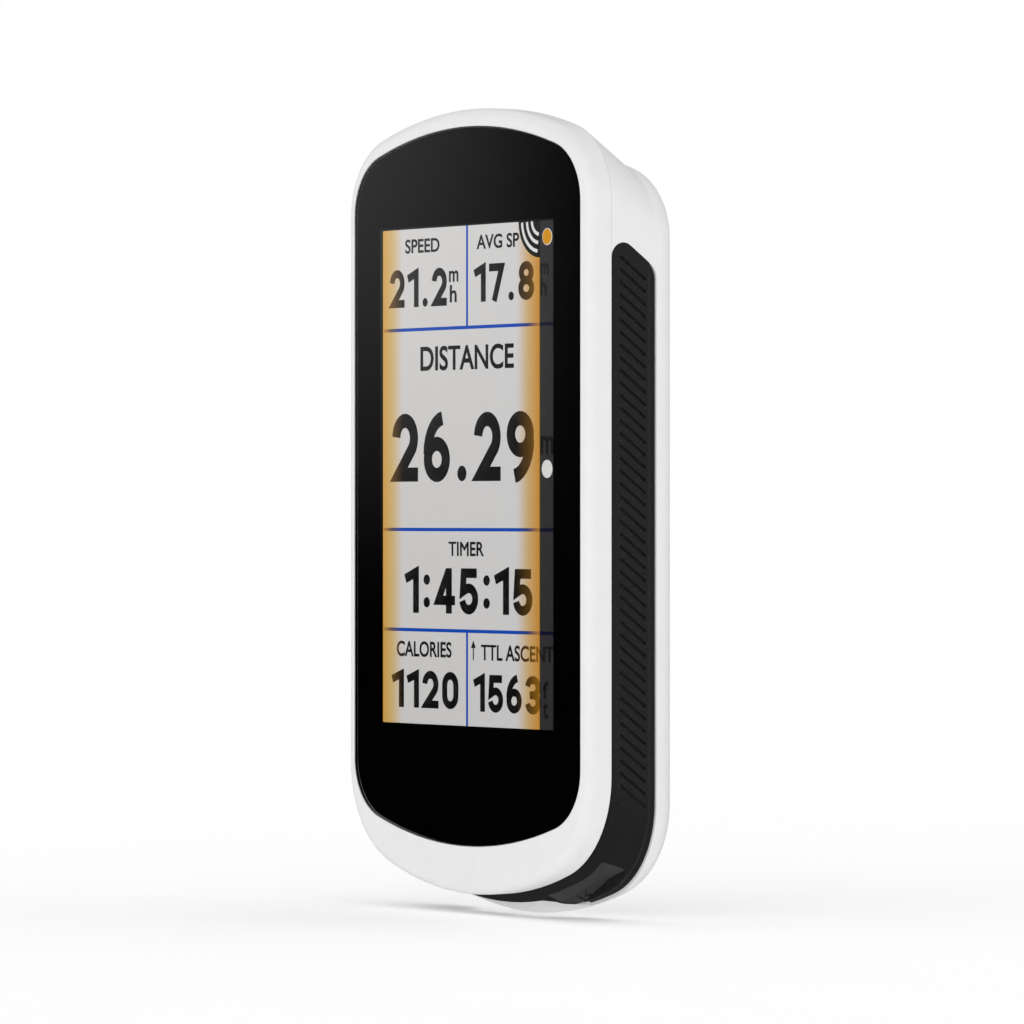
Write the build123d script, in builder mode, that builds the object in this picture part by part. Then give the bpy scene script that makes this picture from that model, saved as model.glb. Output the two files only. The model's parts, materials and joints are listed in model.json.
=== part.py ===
from build123d import *
import math
import os

os.makedirs("parts", exist_ok=True)

# A cycling computer that stands upright: Z runs up its long side, the display looks along -Y
# and the quarter-turn mount on its back looks along +Y. The origin is the centre of the
# mount's end face. A height is a distance from that face towards the rider, so a point at
# height h has y = -h, and level(h) is the plane there, with its own x to the right and y up.

# ------------------------------------------------------------------ driving dimensions (mm)
THICKNESS = 19.3         # mount end face to display glass
CREASE = 15.65           # height of the line between the front and the rear shell
SHOULDER = 8.27          # height where the side walls turn square to the back
BACK = 4.1               # height of the flat back
WALL = 2.2               # rear shell's side wall, with the grip band in it
FLOOR_INSIDE = 5.7       # height of the rear shell's inner floor
REAR_ROUND = 4.0
FRONT_ROUND = 1.4        # rounding of the front shell's rim

# An outline has two straight sides and two crowned ends, joined by tangent corner arcs.
FRONT_OUTLINE = dict(half=27.9, top=53.7, top_r=69.0, top_corner=10.6,
                     bottom=-49.9, bottom_r=54.0, bottom_corner=14.0)
REAR_OUTLINE = dict(half=27.6, top=48.6, top_r=70.0, top_corner=10.0,
                    bottom=-52.6, bottom_r=58.0, bottom_corner=13.0)
LENS_OUTLINE = dict(half=26.06, top=51.3, top_r=68.0, top_corner=8.0,
                    bottom=-43.5, bottom_r=68.0, bottom_corner=8.0)

LENS_BACK = 18.2
LENS_SEAT = 18.05
LENS_FIT = 0.05          # clearance round the glass
LENS_ROUND = 0.2
ADHESIVE_TOP = 18.16
TOUCH_TOP = 18.12
TOUCH_BACK = 17.85
PANEL_FRONT = 17.75
PANEL_MIDDLE = 17.15     # where the panel's two glasses meet
PANEL_BACK = 16.55
PANEL_LEDGE = 2.8        # the rear glass shows below the front one
GUIDE_FRONT = 16.5
GUIDE_BACK = 15.45
TRAY_FRONT = 17.6
TRAY_FLOOR = 15.4
TRAY_BACK = 15.1
TRAY_WALL = 0.35
TRAY_MARGIN = 0.45       # the tray stands out this far round the module
WINDOW = dict(width=44.0, height=76.2, centre=2.6)      # opening in the front shell
MODULE = dict(width=42.6, height=72.0, centre=3.8)      # display module

BAND_DEPTH = 1.0         # thickness of the grip band
BAND_PEAK = 37.0         # where the band's sloping end would meet its front edge
BAND_HEEL = 31.9         # where that slope would meet its rear edge
BEVEL_START = 9.6        # heights of the band's rear bevel
BEVEL_END = 8.95
BEVEL_DROP = 0.35
LIP_WIDTH = 0.5          # chamfer along the band's front edge
LIP_DROP = 0.35
SLEEVE = 0.5             # the band's collar round each corner button

RIB_COUNT = 45           # diagonal grooves down each side of the band
RIB_PITCH = 1.62
RIB_TOP = 31.9           # middle of the first groove
RIB_LENGTH = 5.2
RIB_WIDTH = 0.45
RIB_DEPTH = 0.25
RIB_ANGLE = -35.0
RIB_OFFSET = 3.5         # middle of the grooves, back from the crease

TONGUE_FRONT = 12.35     # the white tongue that interrupts the band under the case
TONGUE_HALF = 8.0
TONGUE_SLOPE = 1.5       # half width gained for each millimetre towards the back

TRAVEL = 0.35            # every button's stroke
GAP = 0.12               # clearance round each button
BUTTON_DEPTH = 3.2
STEM_R = 0.9
SWITCH_GAP = 0.05
SWITCH_HEIGHT = 11.55    # middle of the tactile switches, on the board's rear face
PRESS_TILT = 27.0        # corner buttons are pressed up and inwards

POWER_Z = 20.0
POWER_LENGTH = 11.0
POWER_WIDTH = 3.6
POWER_FACE = 27.83       # faces of the power button, from the middle plane
POWER_INNER = 25.0
POWER_STEM = 23.95       # end of its stem
POWER_SWITCH = 23.4      # face of its switch

BOARD_FRONT = 13.4
BOARD_BACK = 12.4
BOARD_TOP = 40.6
BOARD_INSET = 5.0
BOARD_BOSS_R = 1.45
BOARD_PILOT_R = 0.6
SHIELD_TOP = 14.8
BATTERY_BACK = 7.3
BATTERY_FRONT = 11.4
BATTERY_SIZE = (41.0, 59.0)
BATTERY_AT = (0, -4)
BOARD_SCREWS = [(23.6, 30.0), (23.6, -20.0), (-23.6, 30.0), (-23.6, -20.0)]

SPIGOT_R = 12.7          # quarter-turn mount
LUG_R = 15.5
LUG_WIDTH = 15.0
LUG_THICK = 1.8
DISH_R = 8.2
DISH_DEPTH = 1.2
MOUNT_SCREW_CIRCLE = 10.2
MOUNT_SCREW_COUNT = 4
MOUNT_HEAD = 1.4         # height of the screw heads' seat
MOUNT_HEAD_R = 1.4
MOUNT_SHANK_R = 0.8
MOUNT_FREE = 0.1         # clearance round the screws
SCREW_BOSS_TOP = 6.9
SCREW_BOSS_R = 2.2
CLICK_R = 0.9            # click notch in each lug

USB_Z = -39.5
USB_SHELL = (8.94, 3.26)
USB_MOUTH = (8.34, 2.66)
USB_BLADE = (6.69, 0.7)
USB_ROUND = 1.3
USB_LOW = 5.3            # height of the port's mouth
USB_PAD = 7.2            # height of the pad behind the port's hole
CAP_WIDTH = 15.0
CAP_HEIGHT = 8.0
CAP_THICK = 1.05
CAP_GAP = 0.2
HINGE_Z = -35.3          # the weather cap swings about a bead in the plane of the back
HINGE_R = 0.5
HINGE_LENGTH = 4.6
ANCHOR_Z = -34.1

ANCHOR_PIN_R = 0.7
ANCHOR_RECESS = (6.4, 2.7)

LANYARD = (-15.0, -40.5)
LANYARD_RECESS = (5.6, 3.6)
LANYARD_DEEP = 6.9
LANYARD_BAR_R = 0.65
LANYARD_BAR = 5.2        # length of the bar
LANYARD_HEIGHT = 5.0
VENT_AT = (-14, 36)
PAD_XS = (-3.9, -1.3, 1.3, 3.9)
PAD_R = 0.9
PAD_SLOT = (11.6, 3.2)


# ---------------------------------------------------------------------------------- helpers
def level(height):
    """Plane parallel to the display, at a height above the mount's end face."""
    return Plane.XZ.offset(height)


def pill(outline, inset=0.0):
    """Face inside an outline, drawn in by inset."""
    half = outline["half"] - inset
    with BuildSketch() as face:
        with BuildLine():
            corners = []
            for end, sign in (("top", 1), ("bottom", -1)):
                crown = outline[end + "_r"] - inset
                corner = outline[end + "_corner"] - inset
                apex = outline[end] - sign * inset
                centre = apex - sign * crown
                side = half - corner
                drop = math.sqrt((crown - corner) ** 2 - side ** 2)
                turn = math.degrees(math.asin(side / (crown - corner)))
                level_z = centre + sign * drop
                start = 90 - turn if sign > 0 else 270 - turn
                CenterArc((0, centre), crown, start, 2 * turn)
                CenterArc((side, level_z), corner, 0, sign * (90 - turn))
                CenterArc((-side, level_z), corner, 180, -sign * (90 - turn))
                corners.append(level_z)
            for x in (half, -half):
                Line((x, corners[0]), (x, corners[1]))
        make_face()
    return face.sketch


def case_outline(height):
    """The rear shell's outline between the crease and the shoulder."""
    share = (CREASE - height) / (CREASE - SHOULDER)
    return {name: (1 - share) * FRONT_OUTLINE[name] + share * REAR_OUTLINE[name]
            for name in FRONT_OUTLINE}


def underside(x, height):
    """z of the case's underside at a distance x from the middle plane."""
    outline = case_outline(height)
    crown = outline["bottom_r"]
    corner = outline["bottom_corner"]
    side = outline["half"] - corner
    centre = outline["bottom"] + crown
    if x <= side * crown / (crown - corner):
        return centre - math.sqrt(crown ** 2 - x ** 2)
    level_z = centre - math.sqrt((crown - corner) ** 2 - side ** 2)
    return level_z - math.sqrt(corner ** 2 - (x - side) ** 2)


def ruled(*sections):
    """Solid with walls ruled between (height, inset) sections of the rear shell."""
    with BuildPart() as solid:
        for pair in zip(sections, sections[1:]):
            for height, inset in pair:
                with BuildSketch(level(height)):
                    add(pill(case_outline(height), inset))
            loft(ruled=True)
    return solid.part


def core(inset):
    """The rear shell's ruled stretch, drawn in by inset."""
    return ruled((CREASE, inset), (SHOULDER, inset))


def plate(face, low, high):
    """Face extruded from one height to another."""
    with BuildPart() as solid:
        with BuildSketch(level(low)):
            add(face)
        extrude(amount=high - low)
    return solid.part


def block(width, height, low, high, at=(0, 0), corner=0.0):
    """Rectangular block between two heights, with rounded upright edges."""
    with BuildPart() as solid:
        with BuildSketch(level(low)):
            with Locations(at):
                if corner > 0:
                    RectangleRounded(width, height, corner)
                else:
                    Rectangle(width, height)
        extrude(amount=high - low)
    return solid.part


def disc(radius, low, high, at=(0, 0)):
    """Round column between two heights."""
    with BuildPart() as solid:
        with BuildSketch(level(low)):
            with Locations(at):
                Circle(radius)
        extrude(amount=high - low)
    return solid.part


def ribbon(path, left, right, thick):
    """Flat strip along a path of (height, z) points, from x = left to x = right."""
    with BuildPart() as strip:
        with BuildSketch(Plane.YZ.offset(left)):
            with BuildLine():
                FilletPolyline(*[(-height, z) for height, z in path], radius=0.4)
            trace(line_width=thick)
        extrude(amount=right - left)
    return strip.part


def plane_through(first, second, third):
    """Plane through three points, with its normal on the side that they turn about."""
    origin = Vector(*first)
    along = Vector(*second) - origin
    across = Vector(*third) - origin
    return Plane(origin=origin, x_dir=along, z_dir=along.cross(across))


def finish(part, name):
    """Label a finished piece and write it."""
    part.label = name
    export_step(part, "parts/" + name + ".step")


# ------------------------------------------------------------------------------- tool solids
# The band's outer skin has a small lip at the crease, follows the case, then bevels in
# towards the rear shell.
band_skin = ruled((CREASE, LIP_DROP), (CREASE - LIP_WIDTH, 0.0), (BEVEL_START, 0.0),
                  (BEVEL_END, BEVEL_DROP), (SHOULDER, BEVEL_DROP))

# Seen from the side, the band starts at the crease and ends at the top in a sloping edge.
with BuildPart() as band_side:
    with BuildSketch(Plane.YZ):
        with BuildLine():
            edge = FilletPolyline((-CREASE, -60), (-CREASE, BAND_PEAK), (-SHOULDER, BAND_HEEL),
                                  (-SHOULDER, -60), radius=[2.0, 2.5])
            Line(edge @ 0, edge @ 1)
        make_face()
    extrude(amount=40, both=True)

# Seen from below, the tongue widens from its front edge to the shoulder.
TONGUE_WIDE = TONGUE_HALF + TONGUE_SLOPE * (TONGUE_FRONT - SHOULDER + 1)
with BuildPart() as tongue:
    with BuildSketch(Plane.XY.offset(-60)):
        with BuildLine():
            Polyline((-TONGUE_HALF, -TONGUE_FRONT), (TONGUE_HALF, -TONGUE_FRONT),
                     (TONGUE_WIDE, 1 - SHOULDER), (-TONGUE_WIDE, 1 - SHOULDER), close=True)
        make_face()
        fillet(vertices(), radius=1.0)
    extrude(amount=20)

# Space that the band takes out of the rear shell.
with BuildPart() as band_slot:
    add(core(-1.0))
    add(core(BAND_DEPTH), mode=Mode.SUBTRACT)
    add(band_side.part, mode=Mode.INTERSECT)
    add(tongue.part, mode=Mode.SUBTRACT)

# The right-hand corner button lies across its press direction, with local x along the
# underside and local y towards the rider.
tilt = math.radians(PRESS_TILT)
CORNER_X = 17.0
CORNER_HEIGHT = 10.9
corner_plane = Plane(origin=(CORNER_X, -CORNER_HEIGHT, underside(CORNER_X, CORNER_HEIGHT)),
                     x_dir=(math.cos(tilt), 0, math.sin(tilt)),
                     z_dir=(math.sin(tilt), 0, -math.cos(tilt)))
CORNER_REACH = 8.0


def corner_prism(grow):
    """The corner button's outline, grown, as a prism along its press direction."""
    with BuildPart() as prism:
        with BuildSketch(corner_plane.offset(-CORNER_REACH)):
            with BuildLine():
                Polyline((-6.0, 2.5), (7.3, 2.7), (7.2, -0.3), (6.7, -0.9), (-4.3, -1.5),
                         (-6.7, 0.0), close=True)
            make_face()
            fillet(vertices(), radius=0.25)
            if grow > 0:
                offset(amount=grow)
        extrude(amount=2 * CORNER_REACH)
    return prism.part


def power_prism(grow, low, high):
    """The power button's outline, grown, between two distances from the middle plane."""
    with BuildPart() as prism:
        with BuildSketch(Plane.YZ.offset(-high)):
            with Locations((-SWITCH_HEIGHT, POWER_Z)):
                SlotOverall(POWER_LENGTH + 2 * grow, POWER_WIDTH + 2 * grow, rotation=90)
        extrude(amount=high - low)
    return prism.part


corner_opening = corner_prism(GAP)
left_corner_opening = mirror(corner_opening, about=Plane.YZ)
collar_opening = corner_prism(GAP + SLEEVE)
left_collar_opening = mirror(collar_opening, about=Plane.YZ)
power_opening = power_prism(GAP, POWER_INNER - 1, POWER_FACE + 2)

# Each corner opening has a collar through the wall, moulded with the band.
with BuildPart() as collars:
    add(collar_opening)
    add(left_collar_opening)
    add(band_skin, mode=Mode.INTERSECT)
    add(core(WALL), mode=Mode.SUBTRACT)

# Ribs: rows of slanted grooves on the side faces, which lean in a little towards the back.
side_run = Vector(REAR_OUTLINE["half"] - FRONT_OUTLINE["half"], CREASE - SHOULDER, 0)


def rib_cutter(side):
    """Grooves for one side of the band, leaving out those that would meet the power button."""
    run = Vector(side * side_run.X, side_run.Y, 0)
    outward = Vector(side * side_run.Y, -side_run.X, 0)
    face = Plane(origin=(side * FRONT_OUTLINE["half"], -CREASE, 0), x_dir=run, z_dir=outward)
    up = 1 if face.y_dir.Z > 0 else -1
    rows = [RIB_TOP - RIB_PITCH * row for row in range(RIB_COUNT)]
    if side < 0:
        rows = [z for z in rows if abs(z - POWER_Z) > POWER_LENGTH / 2 + 1.6]
    with BuildPart() as cutter:
        with BuildSketch(face.offset(-RIB_DEPTH)):
            with Locations(*[(RIB_OFFSET, up * z) for z in rows]):
                SlotOverall(RIB_LENGTH, RIB_WIDTH, rotation=up * RIB_ANGLE)
        extrude(amount=1.0)
    return cutter.part


# ------------------------------------------------------------------------------- front shell
with BuildPart() as front_shell:
    add(plate(pill(FRONT_OUTLINE), CREASE, THICKNESS))
    fillet(front_shell.edges().group_by(Axis.Y)[0], radius=FRONT_ROUND)
    # seat for the glass, then the window behind it
    add(plate(pill(LENS_OUTLINE, -LENS_FIT), LENS_SEAT, THICKNESS + 1), mode=Mode.SUBTRACT)
    add(block(WINDOW["width"], WINDOW["height"], CREASE - 1, THICKNESS,
              at=(0, WINDOW["centre"]), corner=0.8), mode=Mode.SUBTRACT)
    # relief behind the ledge, with four bosses for the main board
    add(plate(pill(FRONT_OUTLINE, 2.4), CREASE - 1, CREASE + 1.0), mode=Mode.SUBTRACT)
    for at in BOARD_SCREWS:
        add(disc(BOARD_BOSS_R, BOARD_FRONT, LENS_SEAT - 1.0, at=at))
        add(disc(BOARD_PILOT_R, BOARD_FRONT - 1, LENS_SEAT - 1.4, at=at), mode=Mode.SUBTRACT)
finish(front_shell.part, "front_shell")

# -------------------------------------------------------------------------------- rear shell
SEAL_OUTER = 1.15
SEAL_INNER = 1.85
SEAL_DEPTH = 0.5
with BuildPart() as rear_shell:
    add(core(0.0))
    with BuildSketch(level(SHOULDER)):
        add(pill(REAR_OUTLINE))
    extrude(amount=BACK - SHOULDER)
    fillet(rear_shell.edges().group_by(Axis.Y)[-1], radius=REAR_ROUND)
    # inside
    add(core(WALL), mode=Mode.SUBTRACT)
    add(plate(pill(REAR_OUTLINE, WALL), FLOOR_INSIDE, SHOULDER), mode=Mode.SUBTRACT)
    # groove for the perimeter seal in the rim
    add(plate(pill(FRONT_OUTLINE, SEAL_OUTER) - pill(FRONT_OUTLINE, SEAL_INNER),
              CREASE - SEAL_DEPTH, CREASE), mode=Mode.SUBTRACT)
    # grip band and the three buttons
    add(band_slot.part, mode=Mode.SUBTRACT)
    add(collar_opening, mode=Mode.SUBTRACT)
    add(left_collar_opening, mode=Mode.SUBTRACT)
    add(power_opening, mode=Mode.SUBTRACT)
    # bosses for the mount's screws
    with BuildSketch(level(FLOOR_INSIDE)):
        with PolarLocations(MOUNT_SCREW_CIRCLE, MOUNT_SCREW_COUNT, start_angle=45):
            Circle(SCREW_BOSS_R)
    extrude(amount=SCREW_BOSS_TOP - FLOOR_INSIDE)
    with BuildSketch(level(BACK)):
        with PolarLocations(MOUNT_SCREW_CIRCLE, MOUNT_SCREW_COUNT, start_angle=45):
            Circle(MOUNT_SHANK_R)
    extrude(amount=SCREW_BOSS_TOP - BACK, mode=Mode.SUBTRACT)
    # slot for the power contacts
    with BuildSketch(level(BACK)):
        SlotOverall(*PAD_SLOT)
    extrude(amount=FLOOR_INSIDE - BACK, mode=Mode.SUBTRACT)
    # USB port: a recess for the weather cap and its anchor, a pad inside and the port's hole
    add(block(13.4, 7.4, FLOOR_INSIDE, USB_PAD, at=(0, USB_Z), corner=2.0))
    with BuildSketch(level(BACK)):
        with Locations((0, USB_Z)):
            SlotOverall(CAP_WIDTH + 2 * CAP_GAP, CAP_HEIGHT + 2 * CAP_GAP)
        with Locations((0, USB_Z + CAP_HEIGHT / 2 + 0.75)):
            RectangleRounded(*ANCHOR_RECESS, 0.5)
    extrude(amount=CAP_THICK + 0.05, mode=Mode.SUBTRACT)
    add(block(USB_SHELL[0] + 0.36, USB_SHELL[1] + 0.36, BACK, USB_PAD, at=(0, USB_Z),
              corner=USB_ROUND + 0.15), mode=Mode.SUBTRACT)
    add(disc(ANCHOR_PIN_R, BACK, FLOOR_INSIDE, at=(0, ANCHOR_Z)), mode=Mode.SUBTRACT)
    # lanyard recess with a blister behind it
    add(block(LANYARD_RECESS[0] + 2, LANYARD_RECESS[1] + 2, FLOOR_INSIDE, LANYARD_DEEP + 1,
              at=LANYARD, corner=1.0))
    add(block(*LANYARD_RECESS, BACK, LANYARD_DEEP, at=LANYARD, corner=1.4), mode=Mode.SUBTRACT)
    with BuildSketch(Plane.XY.offset(LANYARD[1] - LANYARD_BAR / 2)):
        with Locations((LANYARD[0], -LANYARD_HEIGHT)):
            Circle(LANYARD_BAR_R)
    extrude(amount=LANYARD_BAR, mode=Mode.SUBTRACT)
    # vent
    add(disc(0.5, BACK, FLOOR_INSIDE, at=VENT_AT), mode=Mode.SUBTRACT)
finish(rear_shell.part, "rear_shell")

with BuildPart() as perimeter_seal:
    add(plate(pill(FRONT_OUTLINE, SEAL_OUTER) - pill(FRONT_OUTLINE, SEAL_INNER),
              CREASE - SEAL_DEPTH, CREASE))
finish(perimeter_seal.part, "perimeter_seal")

with BuildPart() as grip_band:
    add(band_skin)
    add(core(BAND_DEPTH), mode=Mode.SUBTRACT)
    add(band_side.part, mode=Mode.INTERSECT)
    add(tongue.part, mode=Mode.SUBTRACT)
    add(collars.part)
    add(corner_opening, mode=Mode.SUBTRACT)
    add(left_corner_opening, mode=Mode.SUBTRACT)
    add(power_opening, mode=Mode.SUBTRACT)
    for side in (1, -1):
        add(rib_cutter(side), mode=Mode.SUBTRACT)
finish(grip_band.part, "grip_band")

# ----------------------------------------------------------------------- glass and display
with BuildPart() as cover_lens:
    add(plate(pill(LENS_OUTLINE), LENS_BACK, THICKNESS))
    fillet(cover_lens.edges().group_by(Axis.Y)[0], radius=LENS_ROUND)
finish(cover_lens.part, "cover_lens")

with BuildPart() as lens_adhesive:
    add(plate(pill(LENS_OUTLINE, 0.3), LENS_SEAT, ADHESIVE_TOP))
    add(block(WINDOW["width"] + 0.4, WINDOW["height"] + 0.4, LENS_SEAT, ADHESIVE_TOP,
              at=(0, WINDOW["centre"]), corner=1.0), mode=Mode.SUBTRACT)
finish(lens_adhesive.part, "lens_adhesive")

MODULE_AT = (0, MODULE["centre"])
MODULE_FOOT = MODULE["centre"] - MODULE["height"] / 2
with BuildPart() as touch_sensor:
    add(block(MODULE["width"] + 0.2, MODULE["height"] + 0.3, TOUCH_BACK, TOUCH_TOP,
              at=MODULE_AT, corner=0.6))
finish(touch_sensor.part, "touch_sensor")

with BuildPart() as display_panel:
    add(block(MODULE["width"], MODULE["height"], PANEL_BACK, PANEL_MIDDLE, at=MODULE_AT))
    add(block(MODULE["width"], MODULE["height"] - PANEL_LEDGE, PANEL_MIDDLE, PANEL_FRONT,
              at=(0, MODULE["centre"] + PANEL_LEDGE / 2)))
finish(display_panel.part, "display_panel")

with BuildPart() as backlight_unit:
    add(block(MODULE["width"] - 0.2, MODULE["height"] - 0.2, GUIDE_BACK, GUIDE_FRONT,
              at=MODULE_AT, corner=0.5))
finish(backlight_unit.part, "backlight_unit")

TRAY_SIZE = (MODULE["width"] + 2 * TRAY_MARGIN, MODULE["height"] + 2 * TRAY_MARGIN)
with BuildPart() as display_frame:
    add(block(*TRAY_SIZE, TRAY_BACK, TRAY_FRONT, at=MODULE_AT, corner=0.8))
    add(block(TRAY_SIZE[0] - 2 * TRAY_WALL, TRAY_SIZE[1] - 2 * TRAY_WALL, TRAY_FLOOR,
              TRAY_FRONT + 1, at=MODULE_AT, corner=0.45), mode=Mode.SUBTRACT)
    # cut in the lower wall for the two flexes
    add(block(30.0, 2.0, 16.9, TRAY_FRONT + 1, at=(5.5, MODULE_FOOT)), mode=Mode.SUBTRACT)
finish(display_frame.part, "display_frame")

with BuildPart() as display_flex:
    add(ribbon([(17.23, MODULE_FOOT + 0.8), (17.23, MODULE_FOOT - 1.9),
                (BOARD_FRONT + 0.1, MODULE_FOOT - 1.9)], -8.0, 8.0, 0.12))
finish(display_flex.part, "display_flex")

with BuildPart() as touch_flex:
    add(ribbon([(17.78, MODULE_FOOT + 0.8), (17.78, MODULE_FOOT - 2.6),
                (BOARD_FRONT + 0.1, MODULE_FOOT - 2.6)], 11.0, 19.0, 0.1))
finish(touch_flex.part, "touch_flex")

# ------------------------------------------------------------------------------ electronics
with BuildPart() as main_board:
    add(plate(pill(case_outline(BOARD_FRONT), BOARD_INSET), BOARD_BACK, BOARD_FRONT))
    add(block(60, 20, BOARD_BACK, BOARD_FRONT, at=(0, BOARD_TOP + 10)), mode=Mode.SUBTRACT)
    for at in BOARD_SCREWS:
        add(disc(1.5, BOARD_BACK, BOARD_FRONT, at=at))
        add(disc(0.7, BOARD_BACK, BOARD_FRONT, at=at), mode=Mode.SUBTRACT)
finish(main_board.part, "main_board")

with BuildPart() as processor_shield:
    add(block(22, 20, BOARD_FRONT, SHIELD_TOP, at=(-6, 14), corner=1.0))
finish(processor_shield.part, "processor_shield")

with BuildPart() as radio_shield:
    add(block(16, 12, BOARD_FRONT, SHIELD_TOP, at=(8, -12), corner=1.0))
finish(radio_shield.part, "radio_shield")

with BuildPart() as gnss_antenna:
    add(block(30, 4.6, 13.0, 16.4, at=(0, 43.8), corner=0.8))
finish(gnss_antenna.part, "gnss_antenna")

with BuildPart() as radio_antenna:
    add(block(7, 2.5, BOARD_FRONT, 14.6, at=(0, -42.5), corner=0.3))
finish(radio_antenna.part, "radio_antenna")

with BuildPart() as beeper:
    add(disc(6.0, 10.5, BOARD_BACK, at=(13, 33.5)))
    add(disc(0.8, 10.0, 11.0, at=(13, 33.5)), mode=Mode.SUBTRACT)
finish(beeper.part, "beeper")

with BuildPart() as battery:
    add(block(*BATTERY_SIZE, BATTERY_BACK, BATTERY_FRONT, at=BATTERY_AT, corner=2.0))
    fillet(battery.edges().group_by(Axis.Y)[0] + battery.edges().group_by(Axis.Y)[-1],
           radius=0.8)
finish(battery.part, "battery")

with BuildPart() as battery_foam:
    add(block(BATTERY_SIZE[0] - 5, BATTERY_SIZE[1] - 9, SCREW_BOSS_TOP, BATTERY_BACK,
              at=BATTERY_AT, corner=2.0))
finish(battery_foam.part, "battery_foam")

with BuildPart() as battery_connector:
    add(block(5.0, 2.6, 11.2, BOARD_BACK, at=(-8, 30.5)))
finish(battery_connector.part, "battery_connector")

with BuildPart() as battery_lead:
    add(ribbon([(9.6, 25.5), (9.6, 28.3), (11.8, 28.3), (11.8, 29.2)], -10.0, -6.0, 0.5))
finish(battery_lead.part, "battery_lead")

with BuildPart() as board_screws:
    for at in BOARD_SCREWS:
        add(disc(1.3, BOARD_BACK - 0.7, BOARD_BACK, at=at))
        add(disc(BOARD_PILOT_R, BOARD_BACK, 16.0, at=at))
finish(board_screws.part, "board_screws")

# ---------------------------------------------------------------------------------- buttons
# The cap is scooped out by three facets that meet at one deep corner.
front_right = (23.3, -13.6, underside(23.3, 13.6))
rear_right = (23.7, -10.6, underside(23.7, 10.6))
rear_left = (13.0, -9.4, underside(13.0, 9.4))
side_left = (10.4, -10.9, underside(10.4, 10.9))
deep = (17.6, -10.4, underside(17.6, 10.4) + 1.5)
scoop_floor = plane_through(deep, rear_left, side_left)

with BuildPart() as scoop:
    with BuildSketch(corner_plane.offset(-4)):
        Rectangle(20, 10)
    extrude(amount=8)
    for wall in (scoop_floor, plane_through(deep, side_left, front_right),
                 plane_through(deep, front_right, rear_right)):
        outside = wall.to_local_coords(Vector(17, -11, -60)).Z > 0
        split(bisect_by=wall, keep=Keep.TOP if outside else Keep.BOTTOM)


def stem_and_cap(prism, skin, opening_core, cutter):
    """A corner cap between the band's skin and the inside of the wall, scooped out."""
    with BuildPart() as cap:
        add(prism)
        add(skin, mode=Mode.INTERSECT)
        add(opening_core, mode=Mode.SUBTRACT)
        add(cutter, mode=Mode.SUBTRACT)
    return cap.part


STEM_END = 6.0
STEM_AT = (0, SWITCH_HEIGHT - CORNER_HEIGHT)
corner_cap = stem_and_cap(corner_prism(0), band_skin, core(BUTTON_DEPTH), scoop.part)
with BuildPart() as corner_stem:
    with BuildSketch(corner_plane.offset(-STEM_END)):
        with Locations(STEM_AT):
            Circle(STEM_R)
    extrude(amount=STEM_END - 3.0)

SIGN_DEPTH = 0.2


def sign_plane(spot, across, facet):
    """Plane for a sign sunk in a flat facet, with local x across the sign."""
    outward = facet.z_dir if facet.z_dir.Z < 0 else -facet.z_dir
    lift = (facet.origin - spot).dot(outward)
    return Plane(origin=spot + outward * lift, x_dir=across, z_dir=outward)


start_sign = sign_plane(Vector(14.1, -10.0, -50), corner_plane.x_dir, scoop_floor)
with BuildPart() as start_stop_button:
    add(corner_cap)
    add(corner_stem.part)
    # a triangle and a bar: start and stop
    with BuildSketch(start_sign):
        with BuildLine():
            Polyline((1.3, 0.75), (1.3, -0.75), (0.0, 0.0), close=True)
        make_face()
        with Locations((-0.6, 0)):
            Rectangle(0.4, 1.6)
    extrude(amount=-SIGN_DEPTH, mode=Mode.SUBTRACT)
finish(start_stop_button.part, "start_stop_button")

mirrored_floor = Plane(origin=(-deep[0], deep[1], deep[2]),
                       z_dir=(-scoop_floor.z_dir.X, scoop_floor.z_dir.Y, scoop_floor.z_dir.Z))
lap_sign = sign_plane(Vector(-14.4, -10.0, -50),
                      (corner_plane.x_dir.X, 0, -corner_plane.x_dir.Z), mirrored_floor)
with BuildPart() as lap_button:
    add(mirror(corner_cap, about=Plane.YZ))
    add(mirror(corner_stem.part, about=Plane.YZ))
    # a round arrow: lap
    with BuildSketch(lap_sign):
        SlotArc(CenterArc((0, 0), 0.65, 70, 270), 0.3)
        with BuildLine():
            Polyline((0.25, 0.25), (1.05, 0.25), (0.65, -0.35), close=True)
        make_face()
    extrude(amount=-SIGN_DEPTH, mode=Mode.SUBTRACT)
finish(lap_button.part, "lap_button")

with BuildPart() as power_button:
    add(power_prism(0.0, POWER_INNER, POWER_FACE))
    fillet(power_button.edges().group_by(Axis.X)[0], radius=0.3)
    with BuildSketch(Plane.YZ.offset(-POWER_INNER - 0.1)):
        with Locations((-SWITCH_HEIGHT, POWER_Z)):
            Circle(STEM_R)
    extrude(amount=POWER_INNER + 0.1 - POWER_STEM)
    # a broken ring and a stroke: power
    with BuildSketch(Plane.YZ.offset(-POWER_FACE)):
        with Locations((-SWITCH_HEIGHT, POWER_Z)):
            SlotArc(CenterArc((0, 0), 0.7, 125, 290), 0.25)
            with Locations((0, 0.5)):
                SlotOverall(0.9, 0.25, rotation=90)
    extrude(amount=SIGN_DEPTH, mode=Mode.SUBTRACT)
finish(power_button.part, "power_button")

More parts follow.
